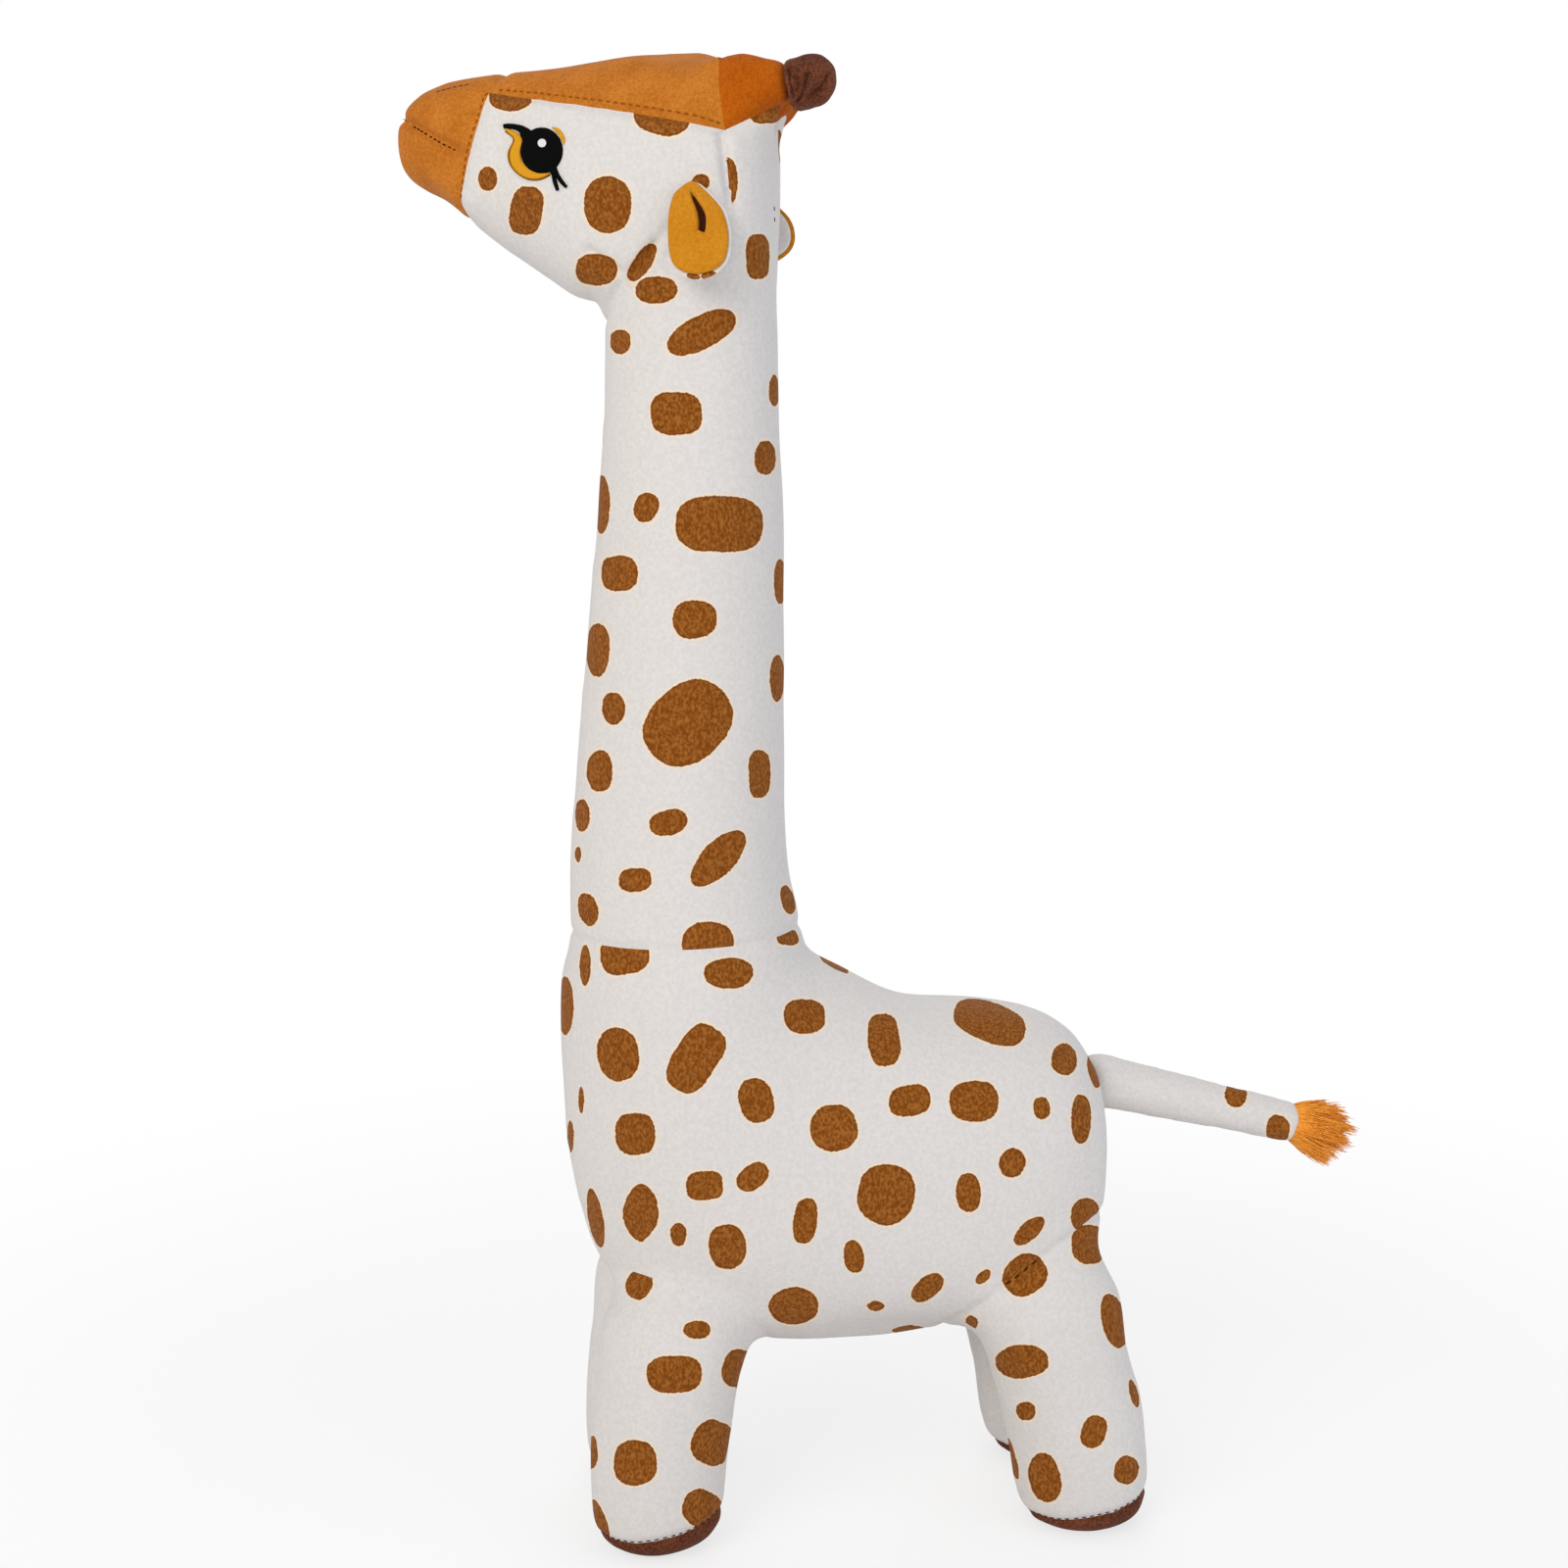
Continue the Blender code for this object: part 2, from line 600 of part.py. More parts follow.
def main():
    clear_scene()
    finishes = {
        "white": fabric("white_pile", (0.73, 0.71, 0.69), 0.95),
        "golden": fabric("golden_pile", (0.55, 0.19, 0.022), 0.92),
        "amber": fabric("amber_pile", (0.48, 0.117, 0.005), 0.92),
        "brown": fabric("brown_pile", (0.105, 0.032, 0.021), 0.9),
        "black": fabric("black_thread", (0.004, 0.004, 0.004), 0.5),
    }
    root = joint_frame("giraffe", None, (0.0, 0.0, 0.0))
    body = build_body(root, finishes["white"])
    axis_x, axis_z = neck_axis()
    neck_frame = joint_frame("neck_axis", root, (axis_x, 0.0, axis_z))
    build_neck(neck_frame, finishes["white"])
    crown = (NECK_SET_BACK, 0.0, NECK_RISE)
    head_frame = joint_frame("head_axis", neck_frame, crown, (0.0, 0.0, HEAD_TURN))
    axes, sockets = horn_axes(head_frame)
    build_head(head_frame, sockets, finishes)
    build_eyes(head_frame, finishes["black"])
    build_ears(head_frame, finishes)
    build_horns(axes, finishes)
    build_legs(root, body, finishes)
    build_tail(root, body, finishes)
    centre_on_origin(root)


main()
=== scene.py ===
"""The looks of a stuffed toy giraffe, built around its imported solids. Metres, +Z up, facing -X.

The solids are melted into one stuffed skin, which is cut into sewn panels along the seams of the photo.
Places given as pixels are in the photo, 1600 across, and lie on the giraffe's near side.
"""

import json
import math
import random

import bmesh
import bpy
import numpy as np
from mathutils import Matrix, Vector, kdtree, noise
from mathutils.bvhtree import BVHTree


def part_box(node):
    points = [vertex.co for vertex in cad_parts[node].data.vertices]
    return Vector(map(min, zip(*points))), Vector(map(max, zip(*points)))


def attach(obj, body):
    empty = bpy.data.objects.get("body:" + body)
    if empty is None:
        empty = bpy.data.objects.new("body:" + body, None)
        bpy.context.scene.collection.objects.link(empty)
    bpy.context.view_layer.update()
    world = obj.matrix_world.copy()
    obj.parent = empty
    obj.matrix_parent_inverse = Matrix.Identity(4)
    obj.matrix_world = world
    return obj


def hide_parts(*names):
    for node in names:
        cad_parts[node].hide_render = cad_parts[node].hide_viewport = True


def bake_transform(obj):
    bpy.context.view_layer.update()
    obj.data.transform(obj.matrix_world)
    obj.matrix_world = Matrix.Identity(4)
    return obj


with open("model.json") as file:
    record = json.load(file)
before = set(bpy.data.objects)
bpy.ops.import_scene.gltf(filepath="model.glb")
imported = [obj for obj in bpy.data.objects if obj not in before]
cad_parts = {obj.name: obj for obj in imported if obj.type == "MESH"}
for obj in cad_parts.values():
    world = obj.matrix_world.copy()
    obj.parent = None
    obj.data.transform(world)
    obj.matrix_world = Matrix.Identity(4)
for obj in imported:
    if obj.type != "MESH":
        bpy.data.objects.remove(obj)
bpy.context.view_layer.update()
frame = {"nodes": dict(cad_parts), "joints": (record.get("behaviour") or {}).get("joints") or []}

MM = 0.001
SIDES = {"left": -1.0, "right": 1.0}
CORNERS = ("front_left", "front_right", "hind_left", "hind_right")
HEAD_NODES = ("head", "face_cap", "muzzle_upper", "muzzle_lower")

# The camera's view of the giraffe: from its left, a little to the front and from above
PHOTO_SIZE = 1600
VIEW_TURN = math.radians(-6.5)
VIEW_RISE = math.radians(8.0)
VIEW_DISTANCE = 0.85
VIEW_FROM_NECK = Vector((0.03931, 0.0, 0.10806))
FOCAL_PIXELS = 2157.0
SENSOR_WIDTH = 36.0

# The floor, how it fades to white around the giraffe, and the lamps: place, size, power and colour
FLOOR_REACH = 6.0
FLOOR_FADE = (0.25, 0.75)
FLOOR_GLOW = 0.72
LAMPS = {
    "key": ((-1.1, -1.3, 1.25), 1.1, 17.0, "#fff8f0"),
    "fill": ((1.3, -1.1, 0.7), 1.2, 7.0, "#eff4ff"),
    "back": ((0.3, 1.5, 1.2), 1.2, 8.0, "#ffffff"),
}

# The stuffed forms, by the width of their first cells, rounds of smoothing and levels of refinement, and
# their lumps, by depth, size, and how far the pile stands proud of the solids
MERGE_REACH = 0.01 * MM
SKIN_FORM = (4.5 * MM, 9, 2)
TAIL_FORM = (2.4 * MM, 5, 1)
TUFT_FORM = (1.4 * MM, 3, 1)
TIP_FORM = (1.4 * MM, 3, 2)
SKIN_LUMPS = (0.9 * MM, 38.0 * MM, 0.9 * MM)
TAIL_LUMPS = (0.4 * MM, 16.0 * MM, 0.6 * MM)
TUFT_LUMPS = (0.25 * MM, 9.0 * MM, 0.35 * MM)
EAR_LUMPS = (0.3 * MM, 9.0 * MM, 0.0)
TIP_LUMPS = (1.1 * MM, 6.0 * MM, 0.3 * MM)

# How a seam draws the skin in, and how the cloth puckers beside it
SEAM_DEPTH = 1.5 * MM
SEAM_SPREAD = 2.3 * MM
JAW_SHARE = 1.2
PUCKER_DEPTH = 0.35 * MM
PUCKER_PITCH = 7.0 * MM
PUCKER_SPREAD = 7.0 * MM
ALLOWANCE = 4.0 * MM
CUT_REACH = 2.5 * MM
CUT_CLOSE = 0.02 * MM

# Seams, each through two pixels of the photo on the near side
NECK_SEAM = ((625, 966), (790, 957))
HIP_SEAMS = {"front": ((640, 1295), (742, 1337)), "hind": ((1010, 1324), (1100, 1254))}
HIP_SEAM_FALL = math.radians(26.0)
SOLE_SEAMS = {"front": ((640, 1575), (728, 1549)), "hind": ((1065, 1549), (1150, 1538))}
HEAD_SEAMS = {
    "muzzle": ((500, 95), (474, 200)),
    "mouth": ((437, 137), (466, 153)),
    "cap": ((520, 97), (733, 131)),
    "cap_end": ((741, 132), (788, 110)),
    "nape": ((738, 150), (745, 205)),
    "throat": ((628, 299), (678, 238)),
    "ear": ((700, 226), (740, 216)),
    "horn_fold": ((734, 66), (739, 128)),
}
JAW_SEAM = ((602, 256), (616, 265), (632, 277), (643, 288))
NECK_BACK = (815, 953)
BODY_MIDDLE = -22.0 * MM
HEAD_START = 5.0 * MM
HORN_PARTING = 2.0 * MM

# Where the fill swells the skin out past the solids, or a fold draws it in: lines through the photo,
# how far out, over what reach, and whether the head's far side has the same
SWELLS = (
    # The horn's stem, the fold before it, the gusset under the far horn, the crown and the belly
    (((772, 69), (786, 71), (800, 73)), 2.2 * MM, 9.0 * MM, False),
    (((736, 66), (745, 68), (754, 69)), 3.2 * MM, 6.0 * MM, False),
    (((814, 116), (808, 124), (802, 132)), -3.4 * MM, 7.0 * MM, False),
    (((690, 56), (705, 57), (720, 58)), -2.3 * MM, 11.0 * MM, False),
    (((885, 1358), (930, 1356), (982, 1356)), -3.4 * MM, 15.0 * MM, False),
    # The muzzle's top and chin, and the back of the neck's base
    (((452, 88), (462, 82), (470, 80)), 1.6 * MM, 8.0 * MM, False),
    (((437, 197), (450, 205), (462, 212)), 1.9 * MM, 8.0 * MM, False),
    (((809, 930), (811, 942)), 2.0 * MM, 12.0 * MM, False),
    # The mouth's crease, the crease down the middle of the muzzle, and the dart at the throat
    (((415, 126), (424, 131), (437, 138), (450, 146), (469, 155)), -1.2 * MM, 1.5 * MM, True),
    (((438, 96), (452, 92), (468, 88), (481, 86)), -0.7 * MM, 1.3 * MM, False),
    (((643, 289), (650, 275), (658, 262), (668, 250)), -1.6 * MM, 1.4 * MM, True),
)

# How deep the groove between two panels is, against the plain one, by the first words of their names
SEAM_SHARES = (
    (("body", "leg_front"), 0.35),
    (("body", "leg_hind"), 0.75),
    (("body", "neck"), 0.7),
    (("nape", "neck"), 0.0),
    (("nape", "head"), 1.7),
    (("muzzle_upper_left", "muzzle_upper_right"), 0.6),
    (("muzzle_lower_left", "muzzle_lower_right"), 0.6),
    (("muzzle", "head"), 0.9),
    (("horn", "face_cap"), 0.55),
    (("body",), 0.8),
)

# The panels that belong to a node of another name
PANEL_GROUPS = {
    "nape": "head",
    "muzzle_upper_left": "muzzle_upper",
    "muzzle_upper_right": "muzzle_upper",
    "muzzle_lower_left": "muzzle_lower",
    "muzzle_lower_right": "muzzle_lower",
}

# Stitches that show: lines through the photo, then apart, length and thickness, thread, body and twin
STITCHES = {
    "cap": (
        ((505, 91.5), (522, 92.5), (568, 97), (645, 107), (705, 117), (736, 126)),
        (3.1 * MM, 2.1 * MM, 0.75 * MM), "amber", "head", True,
    ),
    "muzzle": (
        ((502, 93), (494, 99), (488, 118), (478, 148), (473, 176), (470, 203)),
        (2.9 * MM, 1.9 * MM, 0.7 * MM), "amber", "head", True,
    ),
    "mouth": (
        ((420, 128), (437, 138), (450, 146), (468, 155)),
        (2.5 * MM, 1.7 * MM, 0.75 * MM), "dark", "head", True,
    ),
    "muzzle_top": (
        ((442, 95), (452, 92), (468, 88), (480, 86)),
        (2.6 * MM, 2.2 * MM, 0.5 * MM), "dark", "head", False,
    ),
    "hip": (
        ((1020, 1315), (1042, 1299), (1062, 1282)),
        (4.4 * MM, 3.0 * MM, 0.8 * MM), "dark", "trunk", False,
    ),
    "nape": (
        ((789.5, 203), (790, 219), (790.5, 234)),
        (3.9 * MM, 1.8 * MM, 0.8 * MM), "grey", "head", False,
    ),
}
SOLE_STITCH = (3.3 * MM, 2.1 * MM, 0.7 * MM)
SOLE_STITCH_RISE = 1.0 * MM
RING_STEPS = 300

# The printed spots. A vertex keeps how far inside the nearest it lies, up to the most, in millimetres
SPOT_FIELD_MOST = 6.0
SPOT_WRAP_SHARE = 1.35
SPOT_ROUND_SHARE = 0.72
SPOT_MARGINS = (12.0 * MM, 6.0 * MM)
SPOT_PIXEL = 0.39 * MM
SPOT_GAP = (5.0 * MM, 11.0 * MM)
SPOT_TURN = 0.5
UNSEEN_TRIES = 1500
UNSEEN_SPOT_LEAST = 20
UNSEEN_LOOK = 1.2
LEVEL_FACING = 0.97
WALL_REACH = 0.6 * MM
VIEW_SLACK = 3.0 * MM
LOOK_STEPS = 12
SPARE_SHAPES = ((0, 0, 34, 26, 20, 2.3), (0, 0, 26, 24, 0, 2.1), (0, 0, 44, 30, -15, 2.5))

# The spots in the photo, in its pixels: middle, length along and down, tilt in degrees, and squareness
SPOTS = {
    "neck": (
        (722, 962, 52, 44, 5, 2.2), (804, 918, 14, 30, 15, 2), (633, 349, 22, 24, 0, 2.3),
        (670, 296, 42, 27, 3, 2.3), (716, 339, 76, 34, 27, 2.2), (773, 262, 24, 46, 0, 3),
        (690, 422, 52, 44, 0, 3), (790, 399, 11, 32, 0, 2), (781, 467, 22, 34, 0, 2.2),
        (659, 518, 24, 30, -20, 2.3), (734, 535, 89, 57, 0, 2.8), (614, 515, 16, 60, 0, 2),
        (632, 585, 37, 37, 0, 2.5), (709, 632, 45, 39, 0, 2.3), (796, 594, 13, 46, 0, 2),
        (610, 663, 24, 54, 0, 2.1), (793, 692, 15, 48, 0, 2), (626, 723, 23, 32, 0, 2.2),
        (702, 738, 96, 76, 42, 2.3), (612, 787, 26, 42, 0, 2.3), (775, 790, 22, 48, 0, 2.8),
        (594, 832, 15, 33, 0, 2), (682, 839, 40, 26, 12, 2.3), (590, 872, 6, 15, 0, 2),
        (733, 876, 74, 34, 45, 1.9), (648, 898, 34, 24, 0, 2.5), (600, 928, 20, 34, 15, 2.2),
        (742, 186, 22, 50, 0, 2.2), (783, 115, 38, 22, 0, 2.2), (795, 150, 8, 36, 0, 2),
        (608, 310, 18, 12, -40, 2), (655, 268, 44, 18, 56, 2.1),
    ),
    "body": (
        (637, 974, 50, 42, 8, 2.6), (597, 985, 11, 42, 0, 2),
        (743, 993, 50, 31, 0, 2.2), (804, 956, 27, 17, 0, 2),
        (821, 1037, 42, 35, 0, 2.5), (577, 1026, 16, 60, 0, 2), (631, 1076, 42, 55, 8, 2.2),
        (710, 1080, 74, 44, 57, 3), (772, 1123, 35, 46, 15, 2.2), (648, 1157, 41, 43, 0, 2.5),
        (851, 1151, 48, 47, 0, 2.4), (719, 1210, 38, 29, 6, 3.2), (768, 1201, 36, 24, 38, 2.3),
        (654, 1237, 37, 58, 0, 1.7), (692, 1260, 16, 22, 0, 2.2), (742, 1272, 38, 46, 5, 2.3),
        (822, 1246, 24, 47, -8, 2.6), (608, 1243, 15, 60, 10, 2), (593, 1123, 5, 28, 0, 2),
        (582, 1160, 7, 32, 0, 2), (573.5, 1106, 6, 16, 0, 2), (810, 1333, 50, 38, 0, 2.2),
        (902, 1061, 32, 54, 5, 2.8), (913, 1010, 26, 10, 0, 2), (1010, 1043, 76, 40, -20, 2.4),
        (928, 1123, 42, 32, 10, 2.6), (994, 1124, 50, 42, 0, 2.4), (1063, 1130, 17, 22, 0, 2.2),
        (1086, 1081, 26, 32, 0, 2.2), (1103, 1142, 20, 50, 0, 2.3), (1116, 1092, 11, 38, 12, 2),
        (1033, 1187, 26, 30, -20, 2.2), (904, 1219, 58, 62, -15, 2.3), (988, 1217, 25, 39, 0, 2.4),
        (871, 1282, 20, 34, 8, 2.3), (946, 1314, 38, 22, 40, 2.2), (894, 1333, 17, 10, 0, 2),
        (851, 983, 34, 12, -35, 2), (1050, 1256, 38, 18, 42, 2.1), (1003, 1303, 19, 11, 40, 2),
        (1108, 1240, 30, 34, 0, 2.3), (1046, 1301, 46, 40, 35, 2.3),
        (991, 1348, 13, 16, 0, 2), (927, 1357, 34, 9, 0, 2),
    ),
    "leg_front_left": (
        (652, 1311, 26, 30, -25, 2.3), (711, 1357, 28, 18, 0, 2.2), (688, 1402, 57, 38, 0, 2.6),
        (752, 1396, 30, 40, -20, 2.3), (606, 1398, 14, 44, 0, 2), (727, 1472, 42, 46, -20, 2.4),
        (648, 1493, 45, 46, 0, 2.3), (604, 1482, 12, 34, 0, 2), (717, 1540, 42, 38, -30, 2.4),
        (612, 1552, 14, 46, 20, 2),
    ),
    "leg_hind_left": (
        (1046, 1301, 46, 40, 35, 2.3), (1043, 1389, 54, 34, 3, 2.2), (1047, 1440, 20, 19, 0, 2.2),
        (1066, 1508, 32, 51, 12, 2.2), (1116, 1461, 25, 34, -20, 2.4), (1149, 1500, 24, 28, -15, 2.3),
        (1137, 1348, 25, 56, 12, 2.1), (1157, 1422, 8, 30, 15, 2), (1033, 1488, 8, 44, 14, 2),
        (1111, 1270, 36, 40, 0, 2.3), (992, 1349, 13, 16, 0, 2),
    ),
    "head": (
        (521, 97, 44, 32, 0, 2.4), (676, 118, 58, 40, -10, 2.4), (498, 183, 19, 24, 0, 2.2),
        (537, 215, 34, 50, -10, 2.6), (620, 209, 49, 58, 0, 2.1), (608, 275, 42, 32, 0, 2.4),
        (655, 268, 44, 18, 56, 2.1), (715, 186, 18, 17, 0, 2.2),
    ),
    "tail": (
        (1261, 1117, 22, 27, 0, 2.3), (1304, 1152, 24, 28, 0, 2.3),
    ),
}

# Where the draws of chance start, for the ears' and the tail's made-up spots and for the tuft's strands
SEEDS = {"ears": 21, "tail": 11, "tuft": 5}

# How far the cloth takes to bend at each seam that a joint lies under
NECK_BEND_TILT = math.radians(30.0)
HIP_BEND = 34.0 * MM

# Ears, in the photo's pixels on the near one. A pillow's rises are of its front and its back
EAR_BACK = (
    (707, 185), (715, 188), (722, 194), (731.5, 204), (739, 213.5), (743.8, 225),
    (746, 236), (746.4, 246), (745, 258), (740.5, 269), (732, 278), (722, 283.4),
    (712, 285.6), (702, 283.6), (692, 278.6), (685.4, 271), (682, 260), (681, 247),
    (681, 235), (682, 222), (684, 208), (688, 197), (694, 191), (700, 186.4),
)
EAR_LINING = (
    (706.5, 184.6), (713, 188), (720.3, 195), (729.4, 205), (736.3, 214), (741, 225.5),
    (743.2, 236), (743.6, 245), (742.4, 256), (738.4, 266.4), (730.6, 274), (721.4, 278),
    (711, 280), (701.6, 278.8), (691, 273.6), (685.4, 266.6), (682.8, 258), (681.6, 247),
    (681.4, 236), (682, 224), (683.8, 210.7), (686.8, 199.3), (692, 193), (699.4, 187.4),
)
EAR_MIDDLE = Vector((712.5, 236.0))
EAR_CELLS = (168, 84)
EAR_SPOTS = ((707.5, 282, 13, 6, -8, 2.0), (723.5, 280.5, 15, 7, 16, 2.0))
EAR_BACK_RISES = (0.3 * MM, 2.4 * MM)
EAR_LINING_RISES = (2.5 * MM, 0.8 * MM)
EAR_LINING_STAND = 0.7 * MM
EAR_CROWN = 0.8
EAR_SLIT = ((702.8, 191.0), (709.5, 201.5), (715.4, 211.0), (719.6, 219.5), (720.8, 229.0), (720.2, 240.5))
SLIT_WIDE = 7.4
SLIT_DEPTH = 2.2 * MM
SLIT_FADE = 3.0
FLAP_RISE = 0.9 * MM
FLAP_PLACE = 4.0
FAR_EAR_SWING = math.radians(9.0)
FAR_EAR_SHARES = (1.42, 1.0, 0.82, 1.0)
FAR_EAR_LIFT = Vector((0.0, 0.0, 7.0 * MM))

# The creases of a horn's tip, and how far the far one is moved to show as in the photo
TIP_CREASES = (
    ((824, 76), (822.5, 84), (820.5, 92), (818, 99), (814, 105)),
    ((806, 68), (804.5, 80), (806, 92), (809, 100)),
    ((846, 76), (842, 84), (835, 92), (826, 99)),
    ((812, 78), (815, 86), (813, 94)),
)
TIP_CREASE_DEPTH = 2.2 * MM
TIP_CREASE_SPREAD = 1.1 * MM
FAR_TIP_SHIFT = (-5.0 * MM, 0.0, 1.2 * MM)

# The tuft
TUFT_CORE_SHARE = 0.72
STRAND_COUNT = 900
STRAND_STEPS = 6
CLUMP_COUNT = 46
STRAND_THICK = 0.34 * MM
TUFT_REACH = 25.0 * MM
TUFT_SPREAD = 13.0 * MM
TUFT_ROOT = 6.8 * MM
TUFT_SAG = 1.6 * MM
CLUMP_TURN = 0.35
CLUMP_TIP = 1.1 * MM

# Grains of the fabrics and threads. The pile's tufts are drawn about twice as coarse as real ones
PILE_TUFT = 1.3 * MM
PILE_WAVE = 7.0 * MM
PILE_STANDS = 0.4 * MM
DYE_TUFT = 1.1 * MM
DYE_PATCH = 12.0 * MM
PRINT_BLEED = 9.0 * MM
PRINT_FRAY = 1.2 * MM
WHITE_FLECK = 1.6 * MM
THREAD_PITCH = 0.45 * MM
THREAD_TURN = (0.0, math.radians(38.0), 0.0)
# The painted shade deep in the ear's slit
SLIT_SHADE_COLOUR = "#3a1a08"

# The stitched eyes: lines through the photo's pixels, each with its width there
EYE_DISC = (553.0, 153.8, 21.6, 23.5)
EYE_GLINT = (554.4, 146.8, 5.2, 5.2)
GOLD_ARC = (
    (515.6, 131.4, 1.0), (520.7, 134.6, 4.6), (526.6, 138.4, 6.6), (529.4, 143.6, 8.4), (528.0, 148.8, 9.6),
    (526.0, 154.6, 10.8), (526.0, 161.2, 11.8), (527.8, 167.0, 12.0), (531.6, 172.2, 12.0),
    (537.2, 176.4, 10.6), (543.6, 178.8, 8.6), (550.2, 179.6, 6.0), (556.6, 178.4, 3.4), (561.2, 176.8, 1.0),
)
GOLD_RIM = (
    (516.0, 133.2, 1.0), (520.6, 137.0, 1.8), (524.6, 141.2, 2.0), (524.4, 146.0, 2.2), (522.0, 150.6, 2.2),
    (519.9, 155.8, 2.4), (519.8, 161.6, 2.4), (521.6, 167.8, 2.4), (525.4, 173.4, 2.4), (531.0, 178.4, 2.4),
    (537.4, 181.8, 2.2), (544.4, 183.2, 2.0), (551.0, 182.6, 1.8), (557.0, 180.2, 1.4), (561.2, 177.6, 0.8),
)
GOLD_CORNER = (
    (563.6, 130.2, 1.0), (568.6, 132.8, 4.2), (572.6, 137.6, 4.8), (575.0, 143.0, 3.6), (575.4, 148.0, 1.0),
)
LASHES = (
    (
        (514.6, 129.4, 5.2), (520.0, 129.0, 5.6), (526.0, 129.8, 6.0), (532.0, 132.0, 8.0),
        (537.0, 136.6, 12.0), (541.0, 142.0, 14.0),
    ),
    ((562.0, 170.0, 8.0), (565.0, 178.0, 4.8), (566.8, 186.4, 4.4), (569.4, 194.2, 3.4)),
    ((564.0, 170.0, 8.0), (568.4, 177.6, 4.6), (572.6, 184.6, 4.4), (578.2, 191.0, 3.4)),
)
EYE_RISE = {"gold": 0.75 * MM, "rim": 0.95 * MM, "black": 1.15 * MM, "lash": 1.0 * MM, "glint": 1.45 * MM}
EDGE_RISE_SHARE = 0.25
PATCH_WALL = 1.2 * MM


def joint_place(name):
    """Where one of the frame's joints sits."""
    return Vector(joint(name)["pos_m"])


def joint(name):
    return next(item for item in frame["joints"] if item["name"] == name)


def look_axes():
    """The camera's right, up and back directions."""
    back = Vector((
        math.sin(VIEW_TURN) * math.cos(VIEW_RISE),
        -math.cos(VIEW_TURN) * math.cos(VIEW_RISE),
        math.sin(VIEW_RISE),
    ))
    right = Vector((math.cos(VIEW_TURN), math.sin(VIEW_TURN), 0.0))
    return right, back.cross(right), back


RIGHT, UP, BACK = look_axes()
VIEW_TARGET = joint_place("neck_lean") + VIEW_FROM_NECK
EYE_POINT = VIEW_TARGET + VIEW_DISTANCE * BACK

# The way across the toy and across its turned head, and the head's middle plane as a mirror
ACROSS = Vector((0.0, 1.0, 0.0))
HEAD_ACROSS = Vector(joint("horn_flex_left")["axis"])
HEAD_MIDDLE = joint_place("head_turn")
HEAD_MIRROR = (
    Matrix.Translation(HEAD_MIDDLE) @ Matrix.Scale(-1.0, 4, HEAD_ACROSS) @ Matrix.Translation(-HEAD_MIDDLE)
)


def pixel_ray(x, y):
    """The direction from the camera through a pixel of the photo."""
    half = PHOTO_SIZE / 2
    return (RIGHT * (x - half) + UP * (half - y) - BACK * FOCAL_PIXELS).normalized()


def picture_of(points):
    """Where places show in the photo, in pixels, and the length that one pixel covers there."""
    off = points - np.array(EYE_POINT)
    far = -(off @ np.array(BACK))
    half = PHOTO_SIZE / 2
    x = half + FOCAL_PIXELS * (off @ np.array(RIGHT)) / far
    y = half - FOCAL_PIXELS * (off @ np.array(UP)) / far
    return x, y, far / FOCAL_PIXELS


def add_camera():
    data = bpy.data.cameras.new("camera")
    data.sensor_width = SENSOR_WIDTH
    data.sensor_fit = "HORIZONTAL"
    data.lens = SENSOR_WIDTH * FOCAL_PIXELS / PHOTO_SIZE
    camera = bpy.data.objects.new("camera", data)
    bpy.context.scene.collection.objects.link(camera)
    turn = Matrix((RIGHT, UP, BACK)).transposed().to_4x4()
    camera.matrix_world = Matrix.Translation(EYE_POINT) @ turn
    bpy.context.scene.camera = camera


def linear(code):
    """A colour written as sRGB hex, in linear values."""
    values = [int(code[i:i + 2], 16) / 255 for i in (1, 3, 5)]
    made = [v / 12.92 if v <= 0.04045 else ((v + 0.055) / 1.055) ** 2.4 for v in values]
    return (*made, 1.0)


def feed(tree, node, inputs):
    """Gives a node its inputs, which are values or other nodes' outputs."""
    for name, value in inputs.items():
        if isinstance(value, bpy.types.NodeSocket):
            tree.links.new(value, node.inputs[name])
        else:
            node.inputs[name].default_value = value


def add_node(tree, kind, output, inputs=None, **settings):
    """Adds a node with its settings and inputs. Returns one of its outputs."""
    node = tree.nodes.new(f"ShaderNode{kind}")
    for name, value in settings.items():
        setattr(node, name, value)
    feed(tree, node, inputs or {})
    return node.outputs[output]


def new_material(name):
    """A material, its nodes, its shader, and the place that its patterns are laid out by."""
    material = bpy.data.materials.new(name)
    material.use_nodes = True
    tree = material.node_tree
    return material, tree, tree.nodes["Principled BSDF"], add_node(tree, "TexCoord", "Object")


def mesh_object(name, bm):
    mesh = bpy.data.meshes.new(name)
    bm.to_mesh(mesh)
    bm.free()
    mesh.shade_smooth()
    made = bpy.data.objects.new(name, mesh)
    bpy.context.scene.collection.objects.link(made)
    return made


def settled(made):
    """The object with its modifiers applied."""
    graph = bpy.context.evaluated_depsgraph_get()
    mesh = bpy.data.meshes.new_from_object(made.evaluated_get(graph))
    old = made.data
    made.modifiers.clear()
    made.data = mesh
    bpy.data.meshes.remove(old)
    return made


def values_of(items, name, width=1, kind=np.float32):
    """One property of all of a mesh's vertices, edges, faces or corners."""
    found = np.zeros(len(items) * width, kind)
    items.foreach_get(name, found)
    return found.reshape(-1, width) if width > 1 else found


def points_of(mesh):
    return values_of(mesh.vertices, "co", 3).astype(float)


def normals_of(mesh):
    return values_of(mesh.vertex_normals, "vector", 3).astype(float)


def set_points(mesh, points):
    mesh.vertices.foreach_set("co", points.astype(np.float32).ravel())
    mesh.update()


def tree_of(made):
    return BVHTree.FromObject(made, bpy.context.evaluated_depsgraph_get())


def middle_of(node):
    low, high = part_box(node)
    return (low + high) / 2


